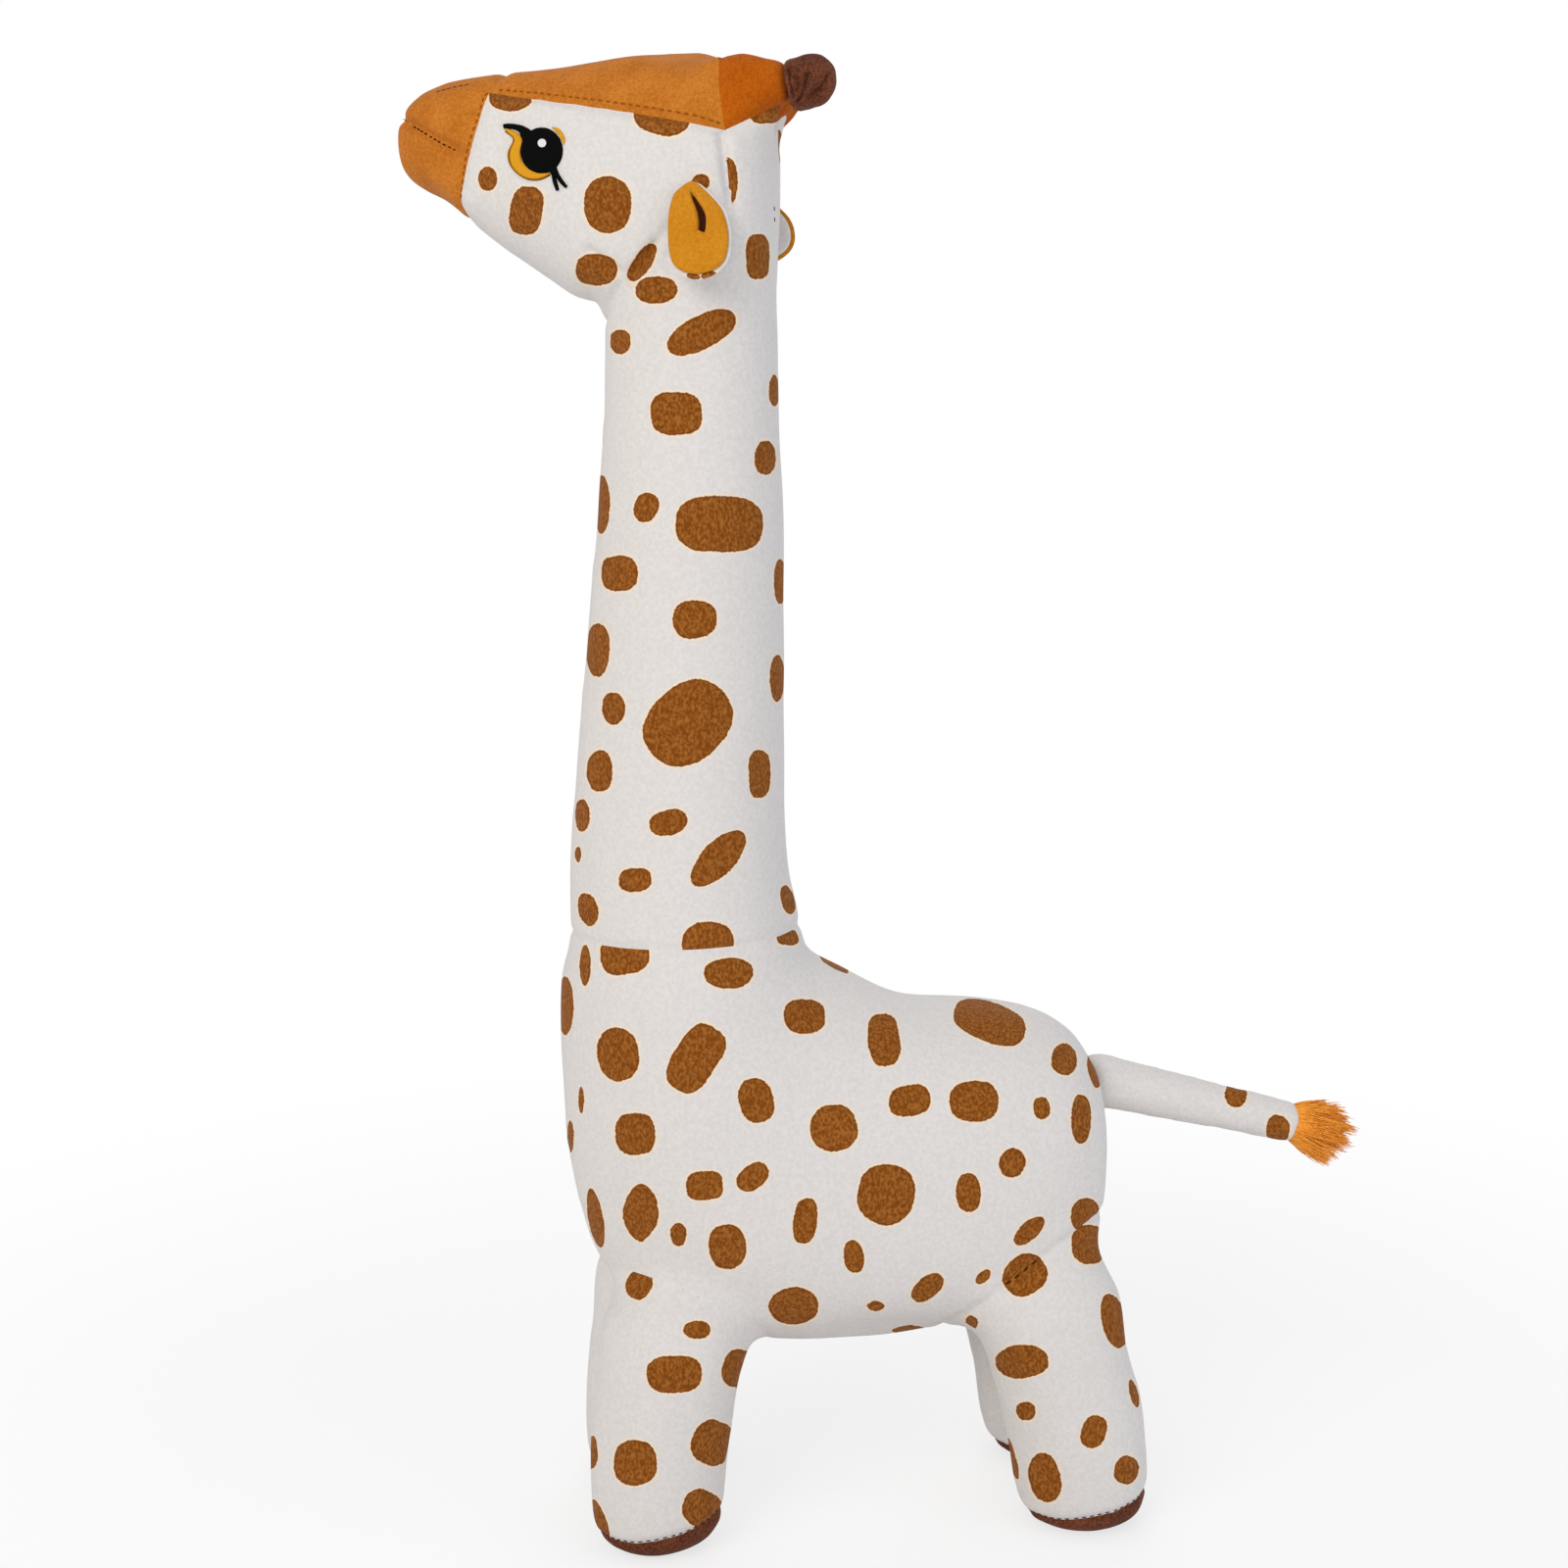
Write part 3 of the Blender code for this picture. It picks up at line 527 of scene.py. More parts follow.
def filled_form(name, nodes, voxel, rounds, levels):
    """One soft closed skin over the nodes: melted together, smoothed and refined."""
    bm = bmesh.new()
    for node in nodes:
        bm.from_mesh(frame["nodes"][node].data)
    bmesh.ops.remove_doubles(bm, verts=bm.verts, dist=MERGE_REACH)
    form = mesh_object(name, bm)
    melt = form.modifiers.new("melt", "REMESH")
    melt.mode = "VOXEL"
    melt.voxel_size = voxel
    settled(form)
    bm = bmesh.new()
    bm.from_mesh(form.data)
    for _ in range(rounds):
        bmesh.ops.smooth_vert(
            bm, verts=bm.verts, factor=0.5, use_axis_x=True, use_axis_y=True, use_axis_z=True,
        )
    bm.to_mesh(form.data)
    bm.free()
    finer = form.modifiers.new("finer", "SUBSURF")
    finer.levels = levels
    finer.render_levels = levels
    settled(form)
    form.data.shade_smooth()
    return form


def add_lumps(mesh, depth, size, stand):
    """Lets the fill show as soft lumps, and stands the pile proud of the cloth."""
    points = points_of(mesh)
    lumps = np.array([noise.noise(Vector(p) / size) for p in points])
    points += (stand + depth * lumps)[:, None] * normals_of(mesh)
    points[:, 2] = np.maximum(points[:, 2], 0.0)
    set_points(mesh, points)


def near_point(tree, pixel):
    """The place on a skin that a pixel shows, or the one nearest to it, and which way it faces."""
    ray = pixel_ray(*pixel)
    place, facing, index, reach = tree.ray_cast(EYE_POINT, ray)
    if place is None:
        place, facing, index, reach = tree.find_nearest(EYE_POINT + ray * VIEW_DISTANCE)
    return place, facing


def places_at(tree, pixels):
    return [near_point(tree, pixel)[0] for pixel in pixels]


def smooth_line(points, step):
    """A smooth curve through the points, as places about a step apart."""
    rows = [Vector(p) for p in points]
    rows = [2 * rows[0] - rows[1], *rows, 2 * rows[-1] - rows[-2]]
    found = []
    for a, b, c, d in zip(rows, rows[1:], rows[2:], rows[3:]):
        count = max(1, round((c - b).length / step))
        for k in range(count):
            t = k / count
            bend = (2 * a - 5 * b + 4 * c - d) * t * t + (3 * b - a - 3 * c + d) * t ** 3
            found.append(0.5 * (2 * b + (c - a) * t + bend))
    found.append(rows[-2])
    return found


def line_on(tree, pixels, step=1.0):
    """Places on a skin along a smooth line through pixels, with which way each faces."""
    return [near_point(tree, pixel) for pixel in smooth_line(pixels, step)]


def on_side(tree, line, side):
    """Places on a side's own skin for a line that was found on the left side's."""
    if side == "left":
        return line
    return [tree.find_nearest(HEAD_MIRROR @ place)[:2] for place, facing in line]


def draw_in(mesh, lines, depth, spread, pucker=0.0):
    """Draws the skin in along places, each with its share of the depth, and puckers it beside them."""
    tree = kdtree.KDTree(len(lines))
    for i, (place, share) in enumerate(lines):
        tree.insert(place, i)
    tree.balance()
    points = points_of(mesh)
    sink = np.zeros(len(points))
    for i, point in enumerate(points):
        place, index, reach = tree.find(point)
        if reach < 3.0 * max(spread, PUCKER_SPREAD):
            beside = pucker * noise.noise(place / PUCKER_PITCH) * math.exp(-(reach / PUCKER_SPREAD) ** 2)
            sink[i] = lines[index][1] * (depth * math.exp(-(reach / spread) ** 2) + beside)
    set_points(mesh, points - sink[:, None] * normals_of(mesh))


class Seam:
    """A flat cut through the skin."""

    def __init__(self, place, normal):
        self.place = Vector(place)
        self.normal = Vector(normal).normalized()

    def off(self, points):
        """How far places lie above a level cut, or in front of an upright one."""
        return (points - np.array(self.place)) @ np.array(self.normal)


def seam_through(first, second, across):
    """The cut through two places that runs across the toy, facing up, or forwards if it is upright."""
    normal = (second - first).cross(across)
    if abs(normal.z) > abs(normal.x):
        normal *= math.copysign(1.0, normal.z)
    else:
        normal *= math.copysign(1.0, -normal.x)
    return Seam(first, normal)


def find_seams(tree):
    """All the cuts, by name."""
    seams = {"neck": seam_through(*places_at(tree, NECK_SEAM), ACROSS)}
    fall = Vector((0.0, math.cos(HIP_SEAM_FALL), -math.sin(HIP_SEAM_FALL)))
    for pair in ("front", "hind"):
        for side, way in SIDES.items():
            twin = Vector((1.0, -way, 1.0))
            for name, pixels, across in (("hip", HIP_SEAMS, fall), ("sole", SOLE_SEAMS, ACROSS)):
                first, second = places_at(tree, pixels[pair])
                seams[f"{name}_{pair}_{side}"] = seam_through(first * twin, second * twin, across * twin)
    for name, pixels in HEAD_SEAMS.items():
        seams[name] = seam_through(*places_at(tree, pixels), HEAD_ACROSS)
    seams["middle"] = Seam(HEAD_MIDDLE, HEAD_ACROSS)
    for side, way in SIDES.items():
        seams[f"parting_{side}"] = Seam(HEAD_MIDDLE + way * HORN_PARTING * HEAD_ACROSS, way * HEAD_ACROSS)
    return seams


def zones_of(points):
    """The stretch of the toy that each cut is kept to, as which places lie in it."""
    found = {"head": points[:, 2] > HEAD_MIDDLE.z + HEAD_START}
    for corner in CORNERS:
        pair, side = corner.split("_")
        along = points[:, 0] < BODY_MIDDLE if pair == "front" else points[:, 0] >= BODY_MIDDLE
        beside = points[:, 1] < 0 if side == "left" else points[:, 1] >= 0
        found[corner] = along & beside & ~found["head"]
    return found


def panels_of(points, seams):
    """The name of the sewn panel that each place on the skin belongs to."""
    over = {name: seam.off(points) > 0 for name, seam in seams.items()}
    zones = zones_of(points)
    head = zones["head"]
    muzzle = head & over["muzzle"]
    cases = []
    for side, there in (("left", ~over["middle"]), ("right", over["middle"])):
        cases.append((muzzle & over["mouth"] & there, f"muzzle_upper_{side}"))
        cases.append((muzzle & ~over["mouth"] & there, f"muzzle_lower_{side}"))
    for side in SIDES:
        horn = head & ~over["horn_fold"] & over["cap_end"] & over[f"parting_{side}"]
        cases.append((horn, f"horn_{side}"))
    cases += [
        (head & over["cap"] & over["cap_end"], "face_cap"),
        (head & over["nape"] & (over["ear"] | over["throat"]), "head"),
        (head & over["ear"], "nape"),
        (head | over["neck"], "neck"),
    ]
    for corner in CORNERS:
        leg = zones[corner] & ~over[f"hip_{corner}"]
        cases.append((leg & over[f"sole_{corner}"], f"leg_{corner}"))
        cases.append((leg, f"sole_{corner}"))
    return np.select([case for case, name in cases], [name for case, name in cases], "body")


def cut_panels(form, seams):
    """Cuts the skin along every seam and gives each face its panel's number. Returns the panels' names."""
    mesh = form.data
    centres = values_of(mesh.polygons, "center", 3).astype(float)
    cuts = {"head": [*HEAD_SEAMS, "middle", "parting_left", "parting_right"]}
    for corner in CORNERS:
        cuts[corner] = ["neck", f"hip_{corner}", f"sole_{corner}"]
    bm = bmesh.new()
    bm.from_mesh(mesh)
    whole = list(bm.faces)
    for zone, inside in zones_of(centres).items():
        split = set()
        for name in cuts[zone]:
            seam = seams[name]
            close = np.abs(seam.off(centres)) < CUT_REACH
            faces = {whole[i] for i in np.flatnonzero(inside & close)} | split
            faces = {face for face in faces if face.is_valid}
            parts = {part for face in faces for part in (face, *face.edges, *face.verts)}
            cut = bmesh.ops.bisect_plane(
                bm, geom=list(parts), plane_co=seam.place, plane_no=seam.normal, dist=CUT_CLOSE,
            )
            split |= {item for item in cut["geom"] if isinstance(item, bmesh.types.BMFace)}
    bm.to_mesh(mesh)
    bm.free()
    owners = panels_of(values_of(mesh.polygons, "center", 3).astype(float), seams)
    names, numbers = np.unique(owners, return_inverse=True)
    mesh.polygons.foreach_set("material_index", numbers.astype(np.int32))
    return [str(name) for name in names]


def seam_share(first, second):
    """How deep the groove between two panels is drawn in, as a share of SEAM_DEPTH."""
    for names, share in SEAM_SHARES:
        if all(any(panel.startswith(name) for panel in (first, second)) for name in names):
            return share
    return 1.0


def seam_points(mesh, names):
    """The places along the seams between the panels, each with its share of the depth."""
    owner = values_of(mesh.polygons, "material_index", kind=np.int32)
    beside = np.repeat(owner, values_of(mesh.polygons, "loop_total", kind=np.int32))
    edges = values_of(mesh.loops, "edge_index", kind=np.int32)
    least = np.full(len(mesh.edges), len(names))
    most = np.full(len(mesh.edges), -1)
    np.minimum.at(least, edges, beside)
    np.maximum.at(most, edges, beside)
    ends = values_of(mesh.edges, "vertices", 2, np.int32)
    found = []
    for i in np.flatnonzero(least != most):
        share = seam_share(names[least[i]], names[most[i]])
        if share > 0:
            found.append((mesh.vertices[ends[i][0]].co.copy(), share))
    return found


def close_wall(piece):
    """Turns each open rim in like a seam allowance, closes it, and shades the piece as the whole skin was."""
    mesh = piece.data
    bm = bmesh.new()
    bm.from_mesh(mesh)
    rims = [edge for edge in bm.edges if edge.is_boundary]
    made = bmesh.ops.extrude_edge_only(bm, edges=rims)["geom"]
    facing = bm.verts.layers.float_vector.get("facing")
    for vert in (item for item in made if isinstance(item, bmesh.types.BMVert)):
        vert.co -= vert[facing] * ALLOWANCE
    inner = [item for item in made if isinstance(item, bmesh.types.BMEdge) and item.is_boundary]
    lids = bmesh.ops.holes_fill(bm, edges=inner, sides=0)["faces"]
    bmesh.ops.triangulate(bm, faces=lids)
    bm.to_mesh(mesh)
    bm.free()
    kept = values_of(mesh.attributes["facing"].data, "vector", 3)
    mesh.attributes.remove(mesh.attributes["facing"])
    mesh.shade_smooth()
    mesh.normals_split_custom_set_from_vertices(kept)
    return piece


def take_apart(form, names):
    """Splits the skin at its seams into closed pieces. Returns them by name."""
    mesh = form.data
    kept = mesh.attributes.new("facing", "FLOAT_VECTOR", "POINT")
    kept.data.foreach_set("vector", normals_of(mesh).astype(np.float32).ravel())
    nodes = [PANEL_GROUPS.get(name, name) for name in names]
    pieces = sorted(set(nodes))
    owner = values_of(mesh.polygons, "material_index", kind=np.int32)
    numbers = np.array([pieces.index(node) for node in nodes], np.int32)[owner]
    mesh.polygons.foreach_set("material_index", numbers)
    kept = mesh.attributes.new("piece", "INT", "FACE")
    kept.data.foreach_set("value", numbers)
    bpy.ops.object.select_all(action="DESELECT")
    form.select_set(True)
    bpy.context.view_layer.objects.active = form
    bpy.ops.object.mode_set(mode="EDIT")
    bpy.ops.mesh.select_all(action="SELECT")
    bpy.ops.mesh.separate(type="MATERIAL")
    bpy.ops.object.mode_set(mode="OBJECT")
    made = {}
    for part in list(bpy.context.selected_objects):
        name = pieces[part.data.attributes["piece"].data[0].value]
        part.data.attributes.remove(part.data.attributes["piece"])
        part.name = part.data.name = f"soft_{name}"
        made[name] = close_wall(part)
    return made


def inside_by(along, down, half_along, half_down, square):
    """How far inside a rounded outline places lie, below zero outside it."""
    share = (np.abs(along / half_along) ** square + np.abs(down / half_down) ** square) ** (1.0 / square)
    share += 1e-6
    return np.hypot(along, down) / share * (1.0 - share)


def seen_spot(points, place, spot):
    """The field of a spot that the photo shows, around its place on the skin."""
    x, y, pixel = picture_of(points)
    turn = math.radians(spot[4])
    along = (x - spot[0]) * math.cos(turn) - (y - spot[1]) * math.sin(turn)
    down = (x - spot[0]) * math.sin(turn) + (y - spot[1]) * math.cos(turn)
    field = inside_by(along, down, spot[2] / 2, spot[3] / 2, spot[5]) * pixel
    reach = SPOT_WRAP_SHARE * 0.5 * math.hypot(spot[2], spot[3]) * pixel
    return np.minimum(field, reach - np.linalg.norm(points - np.array(place), axis=1))


def unseen_spot(points, place, facing, length, width, turn, square):
    """The field of a spot on a side that the photo doesn't show."""
    side = facing.cross(Vector((0.0, 0.0, 1.0))).normalized()
    along = math.cos(turn) * side + math.sin(turn) * side.cross(facing)
    off = points - np.array(place)
    flat = off - (off @ np.array(facing))[:, None] * np.array(facing)
    chord = np.linalg.norm(off, axis=1) / np.maximum(np.linalg.norm(flat, axis=1), 1e-6)
    flat *= chord[:, None]
    down = flat @ np.array(along.cross(facing))
    return inside_by(flat @ np.array(along), down, length / 2, width / 2, square)


def in_view(tree, point):
    """Whether the photo shows a place."""
    off = point - EYE_POINT
    place, facing, index, reach = tree.ray_cast(EYE_POINT, off.normalized())
    return place is None or reach > off.length - VIEW_SLACK


def around(place, facing, reach):
    """A place just off the skin and a ring of places about it."""
    side = facing.orthogonal().normalized()
    turn = Matrix.Rotation(math.tau / LOOK_STEPS, 3, facing)
    found = [place + facing * MM]
    for _ in range(LOOK_STEPS):
        found.append(place + side * reach + facing * MM)
        side = turn @ side
    return found


def paint_spots(piece, seen, tree, seed, allowed=None):
    """Prints the photo's spots on a piece, and others like them where the photo doesn't show it."""
    mesh = piece.data
    points, normals = points_of(mesh), normals_of(mesh)
    field = np.full(len(points), -SPOT_FIELD_MOST)
    centres = []

    def vertices_within(place, reach):
        return np.flatnonzero(np.linalg.norm(points - np.array(place), axis=1) < reach)

    for spot in seen:
        place, facing = near_point(tree, spot[:2])
        pixel = float(picture_of(np.array([place]))[2][0])
        reach = 0.5 * math.hypot(spot[2], spot[3]) * pixel * SPOT_ROUND_SHARE
        centres.append((place, reach))
        near = vertices_within(place, reach + SPOT_MARGINS[0])
        if allowed is not None:
            near = near[allowed(points[near], spot)]
        field[near] = np.maximum(field[near], seen_spot(points[near], place, spot) / MM)
    draw = random.Random(seed)
    shapes = [spot for spot in seen if min(spot[2], spot[3]) > UNSEEN_SPOT_LEAST] or SPARE_SHAPES
    for _ in range(UNSEEN_TRIES):
        index = draw.randrange(len(points))
        place, facing = Vector(points[index]), Vector(normals[index])
        if tree.find_nearest(place)[3] > WALL_REACH:
            continue
        shape = draw.choice(shapes)
        length, width = shape[2] * SPOT_PIXEL, shape[3] * SPOT_PIXEL
        turn = math.radians(shape[4]) + draw.uniform(-SPOT_TURN, SPOT_TURN)
        reach = 0.5 * max(length, width)
        apart = draw.uniform(*SPOT_GAP)
        if any((place - other).length < reach + far + apart for other, far in centres):
            continue
        if abs(facing.z) > LEVEL_FACING:
            continue
        if any(in_view(tree, point) for point in around(place, facing, UNSEEN_LOOK * reach)):
            continue
        centres.append((place, reach))
        near = vertices_within(place, 2 * reach + SPOT_MARGINS[1])
        made = unseen_spot(points[near], place, facing, length, width, turn, shape[5])
        field[near] = np.maximum(field[near], made / MM)
    kept = mesh.attributes.new("spot", "FLOAT", "POINT")
    kept.data.foreach_set("value", np.clip(field, -SPOT_FIELD_MOST, SPOT_FIELD_MOST).astype(np.float32))


def finish_pile(tree, skin, place, colour, rough, strength):
    """The short pile's grain, matt all over: fine tufts over softer, wider waves."""
    tufts, waves = (
        add_node(tree, "TexNoise", "Fac", {"Vector": place, "Scale": 1.0 / size})
        for size in (PILE_TUFT, PILE_WAVE)
    )
    low = add_node(tree, "Math", 0, {0: waves, 1: 0.8}, operation="MULTIPLY")
    height = add_node(tree, "Math", 0, {0: tufts, 1: 0.5, 2: low}, operation="MULTIPLY_ADD")
    relief = {"Height": height, "Strength": strength, "Distance": PILE_STANDS}
    feed(tree, skin, {
        "Base Color": colour, "Normal": add_node(tree, "Bump", "Normal", relief), "Roughness": rough,
        "Specular IOR Level": 0.06, "Sheen Weight": 0.06, "Sheen Roughness": 0.5,
    })


def dyed(tree, value, low, high, below, above):
    """A colour that goes from one to another as a value rises from low to high."""
    share = add_node(
        tree, "MapRange", "Result", {"Value": value, "From Min": low, "From Max": high},
        interpolation_type="SMOOTHSTEP",
    )
    return add_node(tree, "Mix", 2, {0: share, 6: below, 7: above}, data_type="RGBA")


def printed_plush():
    """Short-pile polyester plush, printed: a matt, finely flecked white, brown spots and a warm bleed."""
    material, tree, skin, place = new_material("printed short-pile plush")
    bleed, fray, flecks = (
        add_node(tree, "TexNoise", "Fac", {"Vector": place, "Scale": 1.0 / size})
        for size in (PRINT_BLEED, PRINT_FRAY, WHITE_FLECK)
    )
    lying = add_node(tree, "Mapping", "Vector", {"Vector": place, "Scale": (1.0, 1.0, 0.72)})
    tufts = add_node(tree, "TexNoise", "Fac", {"Vector": lying, "Scale": 1.0 / DYE_TUFT})
    # How far inside the print a place lies, in millimetres, once its edge has bled and frayed
    field = add_node(tree, "Attribute", "Fac", attribute_name="spot")
    wavy = add_node(tree, "Math", 0, {0: bleed, 1: 1.6, 2: field}, operation="MULTIPLY_ADD")
    rough = add_node(tree, "Math", 0, {0: wavy, 1: fray}, operation="ADD")
    depth = add_node(tree, "Math", 0, {0: rough, 1: 1.3}, operation="SUBTRACT")
    white = dyed(tree, flecks, 0.3, 0.7, linear("#d6d2ce"), linear("#dedad7"))
    warm = dyed(tree, depth, -1.2, -0.35, white, linear("#eed9bd"))
    brown = dyed(tree, tufts, 0.34, 0.74, linear("#7a410d"), linear("#a2662a"))
    inked = dyed(tree, depth, 0.1, 0.9, linear("#70390a"), brown)
    finish_pile(tree, skin, place, dyed(tree, depth, -0.25, 0.2, warm, inked), 0.95, 0.42)
    return material


def dyed_plush(name, dark, light, slit_shade=None):
    """Short-pile plush dyed in one colour: its tufts catch the light unevenly, and shade is painted dark deep
    in a fold of it.
    """
    material, tree, skin, place = new_material(name)
    patches, tufts = (
        add_node(tree, "TexNoise", "Fac", {"Vector": place, "Scale": 1.0 / size})
        for size in (DYE_PATCH, DYE_TUFT)
    )
    low = add_node(tree, "Math", 0, {0: patches, 1: 0.35}, operation="MULTIPLY")
    grain = add_node(tree, "Math", 0, {0: tufts, 1: 0.65, 2: low}, operation="MULTIPLY_ADD")
    colour = dyed(tree, grain, 0.3, 0.7, linear(dark), linear(light))
    if slit_shade:
        # Painted shade: the plush darkens towards the shade colour the deeper into the fold a place lies
        depth = add_node(tree, "Attribute", "Fac", attribute_name=slit_shade)
        colour = dyed(tree, depth, 0.45, 0.85, colour, linear(SLIT_SHADE_COLOUR))
    finish_pile(tree, skin, place, colour, 0.9, 0.6)
    return material


def thread(name, dark, light):
    """Rayon thread in close satin stitches: a soft shine broken by fine ridges, a thread's pitch apart."""
    material, tree, skin, place = new_material(name)
    turned = add_node(tree, "Mapping", "Vector", {"Vector": place, "Rotation": THREAD_TURN})
    # A wave texture's bands lie a twentieth of a turn apart at a scale of one
    scale = math.tau / (20.0 * THREAD_PITCH)
    ridges = add_node(
        tree, "TexWave", "Fac", {"Vector": turned, "Scale": scale, "Distortion": 1.2, "Detail": 2.0},
    )
    colour = add_node(tree, "Mix", 2, {0: ridges, 6: linear(dark), 7: linear(light)}, data_type="RGBA")
    relief = {"Height": ridges, "Strength": 0.5, "Distance": 0.25 * MM}
    feed(tree, skin, {
        "Base Color": colour, "Normal": add_node(tree, "Bump", "Normal", relief),
        "Roughness": 0.6, "Specular IOR Level": 0.03,
    })
    return material


def make_materials():
    """The toy's fabrics and threads, by their use."""
    return {
        "white": printed_plush(),
        "gold": dyed_plush("golden short-pile plush", "#b06418", "#cb7e2e"),
        "amber": dyed_plush("amber short-pile plush", "#a04a04", "#bb5f0a"),
        # The lining is darkened with painted shade deep in the ear's slit
        "lining": dyed_plush("golden ear velour", "#bd7812", "#d08b22", slit_shade="slit"),
        "brown": dyed_plush("dark brown plush", "#4a2414", "#7a4630"),
        "tuft": dyed_plush("golden yarn", "#e68c20", "#fdb048"),
        "black": thread("black embroidery thread", "#030303", "#0b0b0b"),
        "glint": thread("white embroidery thread", "#d8d8d8", "#f6f6f6"),
        "arc": thread("gold embroidery thread", "#c88512", "#efb130"),
        "rim": thread("bronze embroidery thread", "#8a5410", "#ad7220"),
        "amber_stitch": thread("amber sewing thread", "#8a4a10", "#a8641c"),
        "dark_stitch": thread("dark brown sewing thread", "#2c170c", "#4a2a16"),
        "grey_stitch": thread("grey sewing thread", "#4c4842", "#6a655e"),
    }


def dress(piece, material, body=None):
    """Gives a piece its material, and sets it on a body."""
    piece.data.materials.clear()
    piece.data.materials.append(material)
    if body:
        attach(piece, body)
    return piece


def add_floor():
    """A plain pale floor that keeps the giraffe's soft shadow and fades to white around it."""
    bm = bmesh.new()
    bmesh.ops.create_grid(bm, x_segments=1, y_segments=1, size=FLOOR_REACH)
    floor = mesh_object("floor", bm)
    material, tree, skin, place = new_material("pale floor")
    tree.nodes.remove(skin)
    matt = add_node(tree, "BsdfDiffuse", 0, {"Color": linear("#f4f4f4")})
    glow = add_node(tree, "Emission", 0, {"Color": (1.0, 1.0, 1.0, 1.0), "Strength": 1.0})
    to_camera = add_node(tree, "LightPath", "Is Camera Ray")
    reach = add_node(tree, "VectorMath", "Value", {0: place}, operation="LENGTH")
    fade = {"Value": reach, "From Min": FLOOR_FADE[0], "From Max": FLOOR_FADE[1], "To Min": FLOOR_GLOW}
    plain = add_node(tree, "MapRange", "Result", fade, interpolation_type="SMOOTHSTEP")
    share = add_node(tree, "Math", 0, {0: to_camera, 1: plain}, operation="MULTIPLY")
    blend = add_node(tree, "MixShader", 0, {0: share, 1: matt, 2: glow})
    feed(tree, tree.nodes["Material Output"], {"Surface": blend})
    floor.data.materials.append(material)


def add_world():
    """A grey room that lights softly, and shows white to the camera and in reflections."""
    world = bpy.data.worlds.new("studio")
    bpy.context.scene.world = world
    world.use_nodes = True
    tree = world.node_tree
    seen = add_node(tree, "LightPath", "Is Camera Ray")
    for kind in ("Is Glossy Ray", "Is Transmission Ray"):
        ray = add_node(tree, "LightPath", kind)
        seen = add_node(tree, "Math", 0, {0: seen, 1: ray}, operation="MAXIMUM")
    shades = {0: seen, 6: (0.52, 0.53, 0.55, 1.0), 7: (1.0, 1.0, 1.0, 1.0)}
    colour = add_node(tree, "Mix", 2, shades, data_type="RGBA")
    feed(tree, tree.nodes["Background"], {"Color": colour, "Strength": 1.0})


def add_lamps():
    for name, (place, size, power, colour) in LAMPS.items():
        data = bpy.data.lights.new(name, "AREA")
        data.size = size
        data.energy = power
        data.color = linear(colour)[:3]
        lamp = bpy.data.objects.new(name, data)
        bpy.context.scene.collection.objects.link(lamp)
        lamp.location = place
        lamp.rotation_euler = (Vector(place) - VIEW_TARGET).to_track_quat("Z", "Y").to_euler()


def make_skin():
    """The stuffed skin, drawn in along its seams. Returns it, its panels' names, its cuts and its tree."""
    nodes = ["body", "neck", *(f"leg_{c}" for c in CORNERS), *(f"sole_{c}" for c in CORNERS)]
    form = filled_form("skin", [*nodes, *HEAD_NODES, "horn_left", "horn_right"], *SKIN_FORM)
    tree = tree_of(form)
    seams = find_seams(tree)
    names = cut_panels(form, seams)
    add_lumps(form.data, *SKIN_LUMPS)
    for pixels, rise, reach, twin in SWELLS:
        places = [place for place, facing in line_on(tree, pixels)]
        if twin:
            places += [HEAD_MIRROR @ place for place in places]
        draw_in(form.data, [(place, -1.0) for place in places], rise, reach)
    lines = seam_points(form.data, names)
    for place, facing in line_on(tree, JAW_SEAM, step=2.0):
        lines += [(place, JAW_SHARE), (HEAD_MIRROR @ place, JAW_SHARE)]
    draw_in(form.data, lines, SEAM_DEPTH, SEAM_SPREAD, PUCKER_DEPTH)
    return form, names, seams, tree


def dress_white(piece, name, seams, tree, material, bare_tree, number):
    """Prints a white piece with its spots, and sets the head's piece on the head."""
    spots = SPOTS.get(name, ())
    if name == "head":
        # The neck's spots that run up the nape belong behind its fold, and the head's before it
        def on_own_side(points, spot):
            ahead = seams["nape"].off(points) > 0
            return ahead if spot in SPOTS["head"] else ~ahead

        paint_spots(piece, spots + SPOTS["neck"], tree, number, on_own_side)
    else:
        paint_spots(piece, spots, tree, number)
    dress(piece, material)
    if name == "head":
        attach(piece, "head")
    elif name == "body":
        way = Vector((-math.sin(NECK_BEND_TILT), 0.0, math.cos(NECK_BEND_TILT)))
        end = way * min(place.dot(way) for place in places_at(bare_tree, (*NECK_SEAM, NECK_BACK)))
        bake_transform(piece)
    elif name == "neck":
        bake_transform(piece)
    else:
        seam = seams[name.replace("leg", "hip")]
        end = seam.place - HIP_BEND * seam.normal
        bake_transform(piece)


def add_skin(cloth):
    """Every piece of the stuffed skin. Returns the whole skin's tree and the cuts."""
    form, names, seams, bare_tree = make_skin()
    tree = tree_of(form)
    for number, (name, piece) in enumerate(sorted(take_apart(form, names).items())):
        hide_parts(name)
        if name.startswith("horn"):
            dress(piece, cloth["amber"])
            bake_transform(piece)
        elif name in ("face_cap", "muzzle_upper", "muzzle_lower"):
            dress(piece, cloth["gold"], "head")
        elif name.startswith("sole"):
            dress(piece, cloth["brown"], name.replace("sole", "leg"))
        else:
            dress_white(piece, name, seams, tree, cloth["white"], bare_tree, number)
    return tree, seams


def flat_frame(node):
    """The middle of a flat piece and the way that its outer face looks."""
    points = points_of(frame["nodes"][node].data)
    middle = points.mean(axis=0)
    spread = points - middle
    out = Vector(np.linalg.eigh(spread.T @ spread)[1][:, 0])
    return Vector(middle), out * math.copysign(1.0, out.dot(BACK))


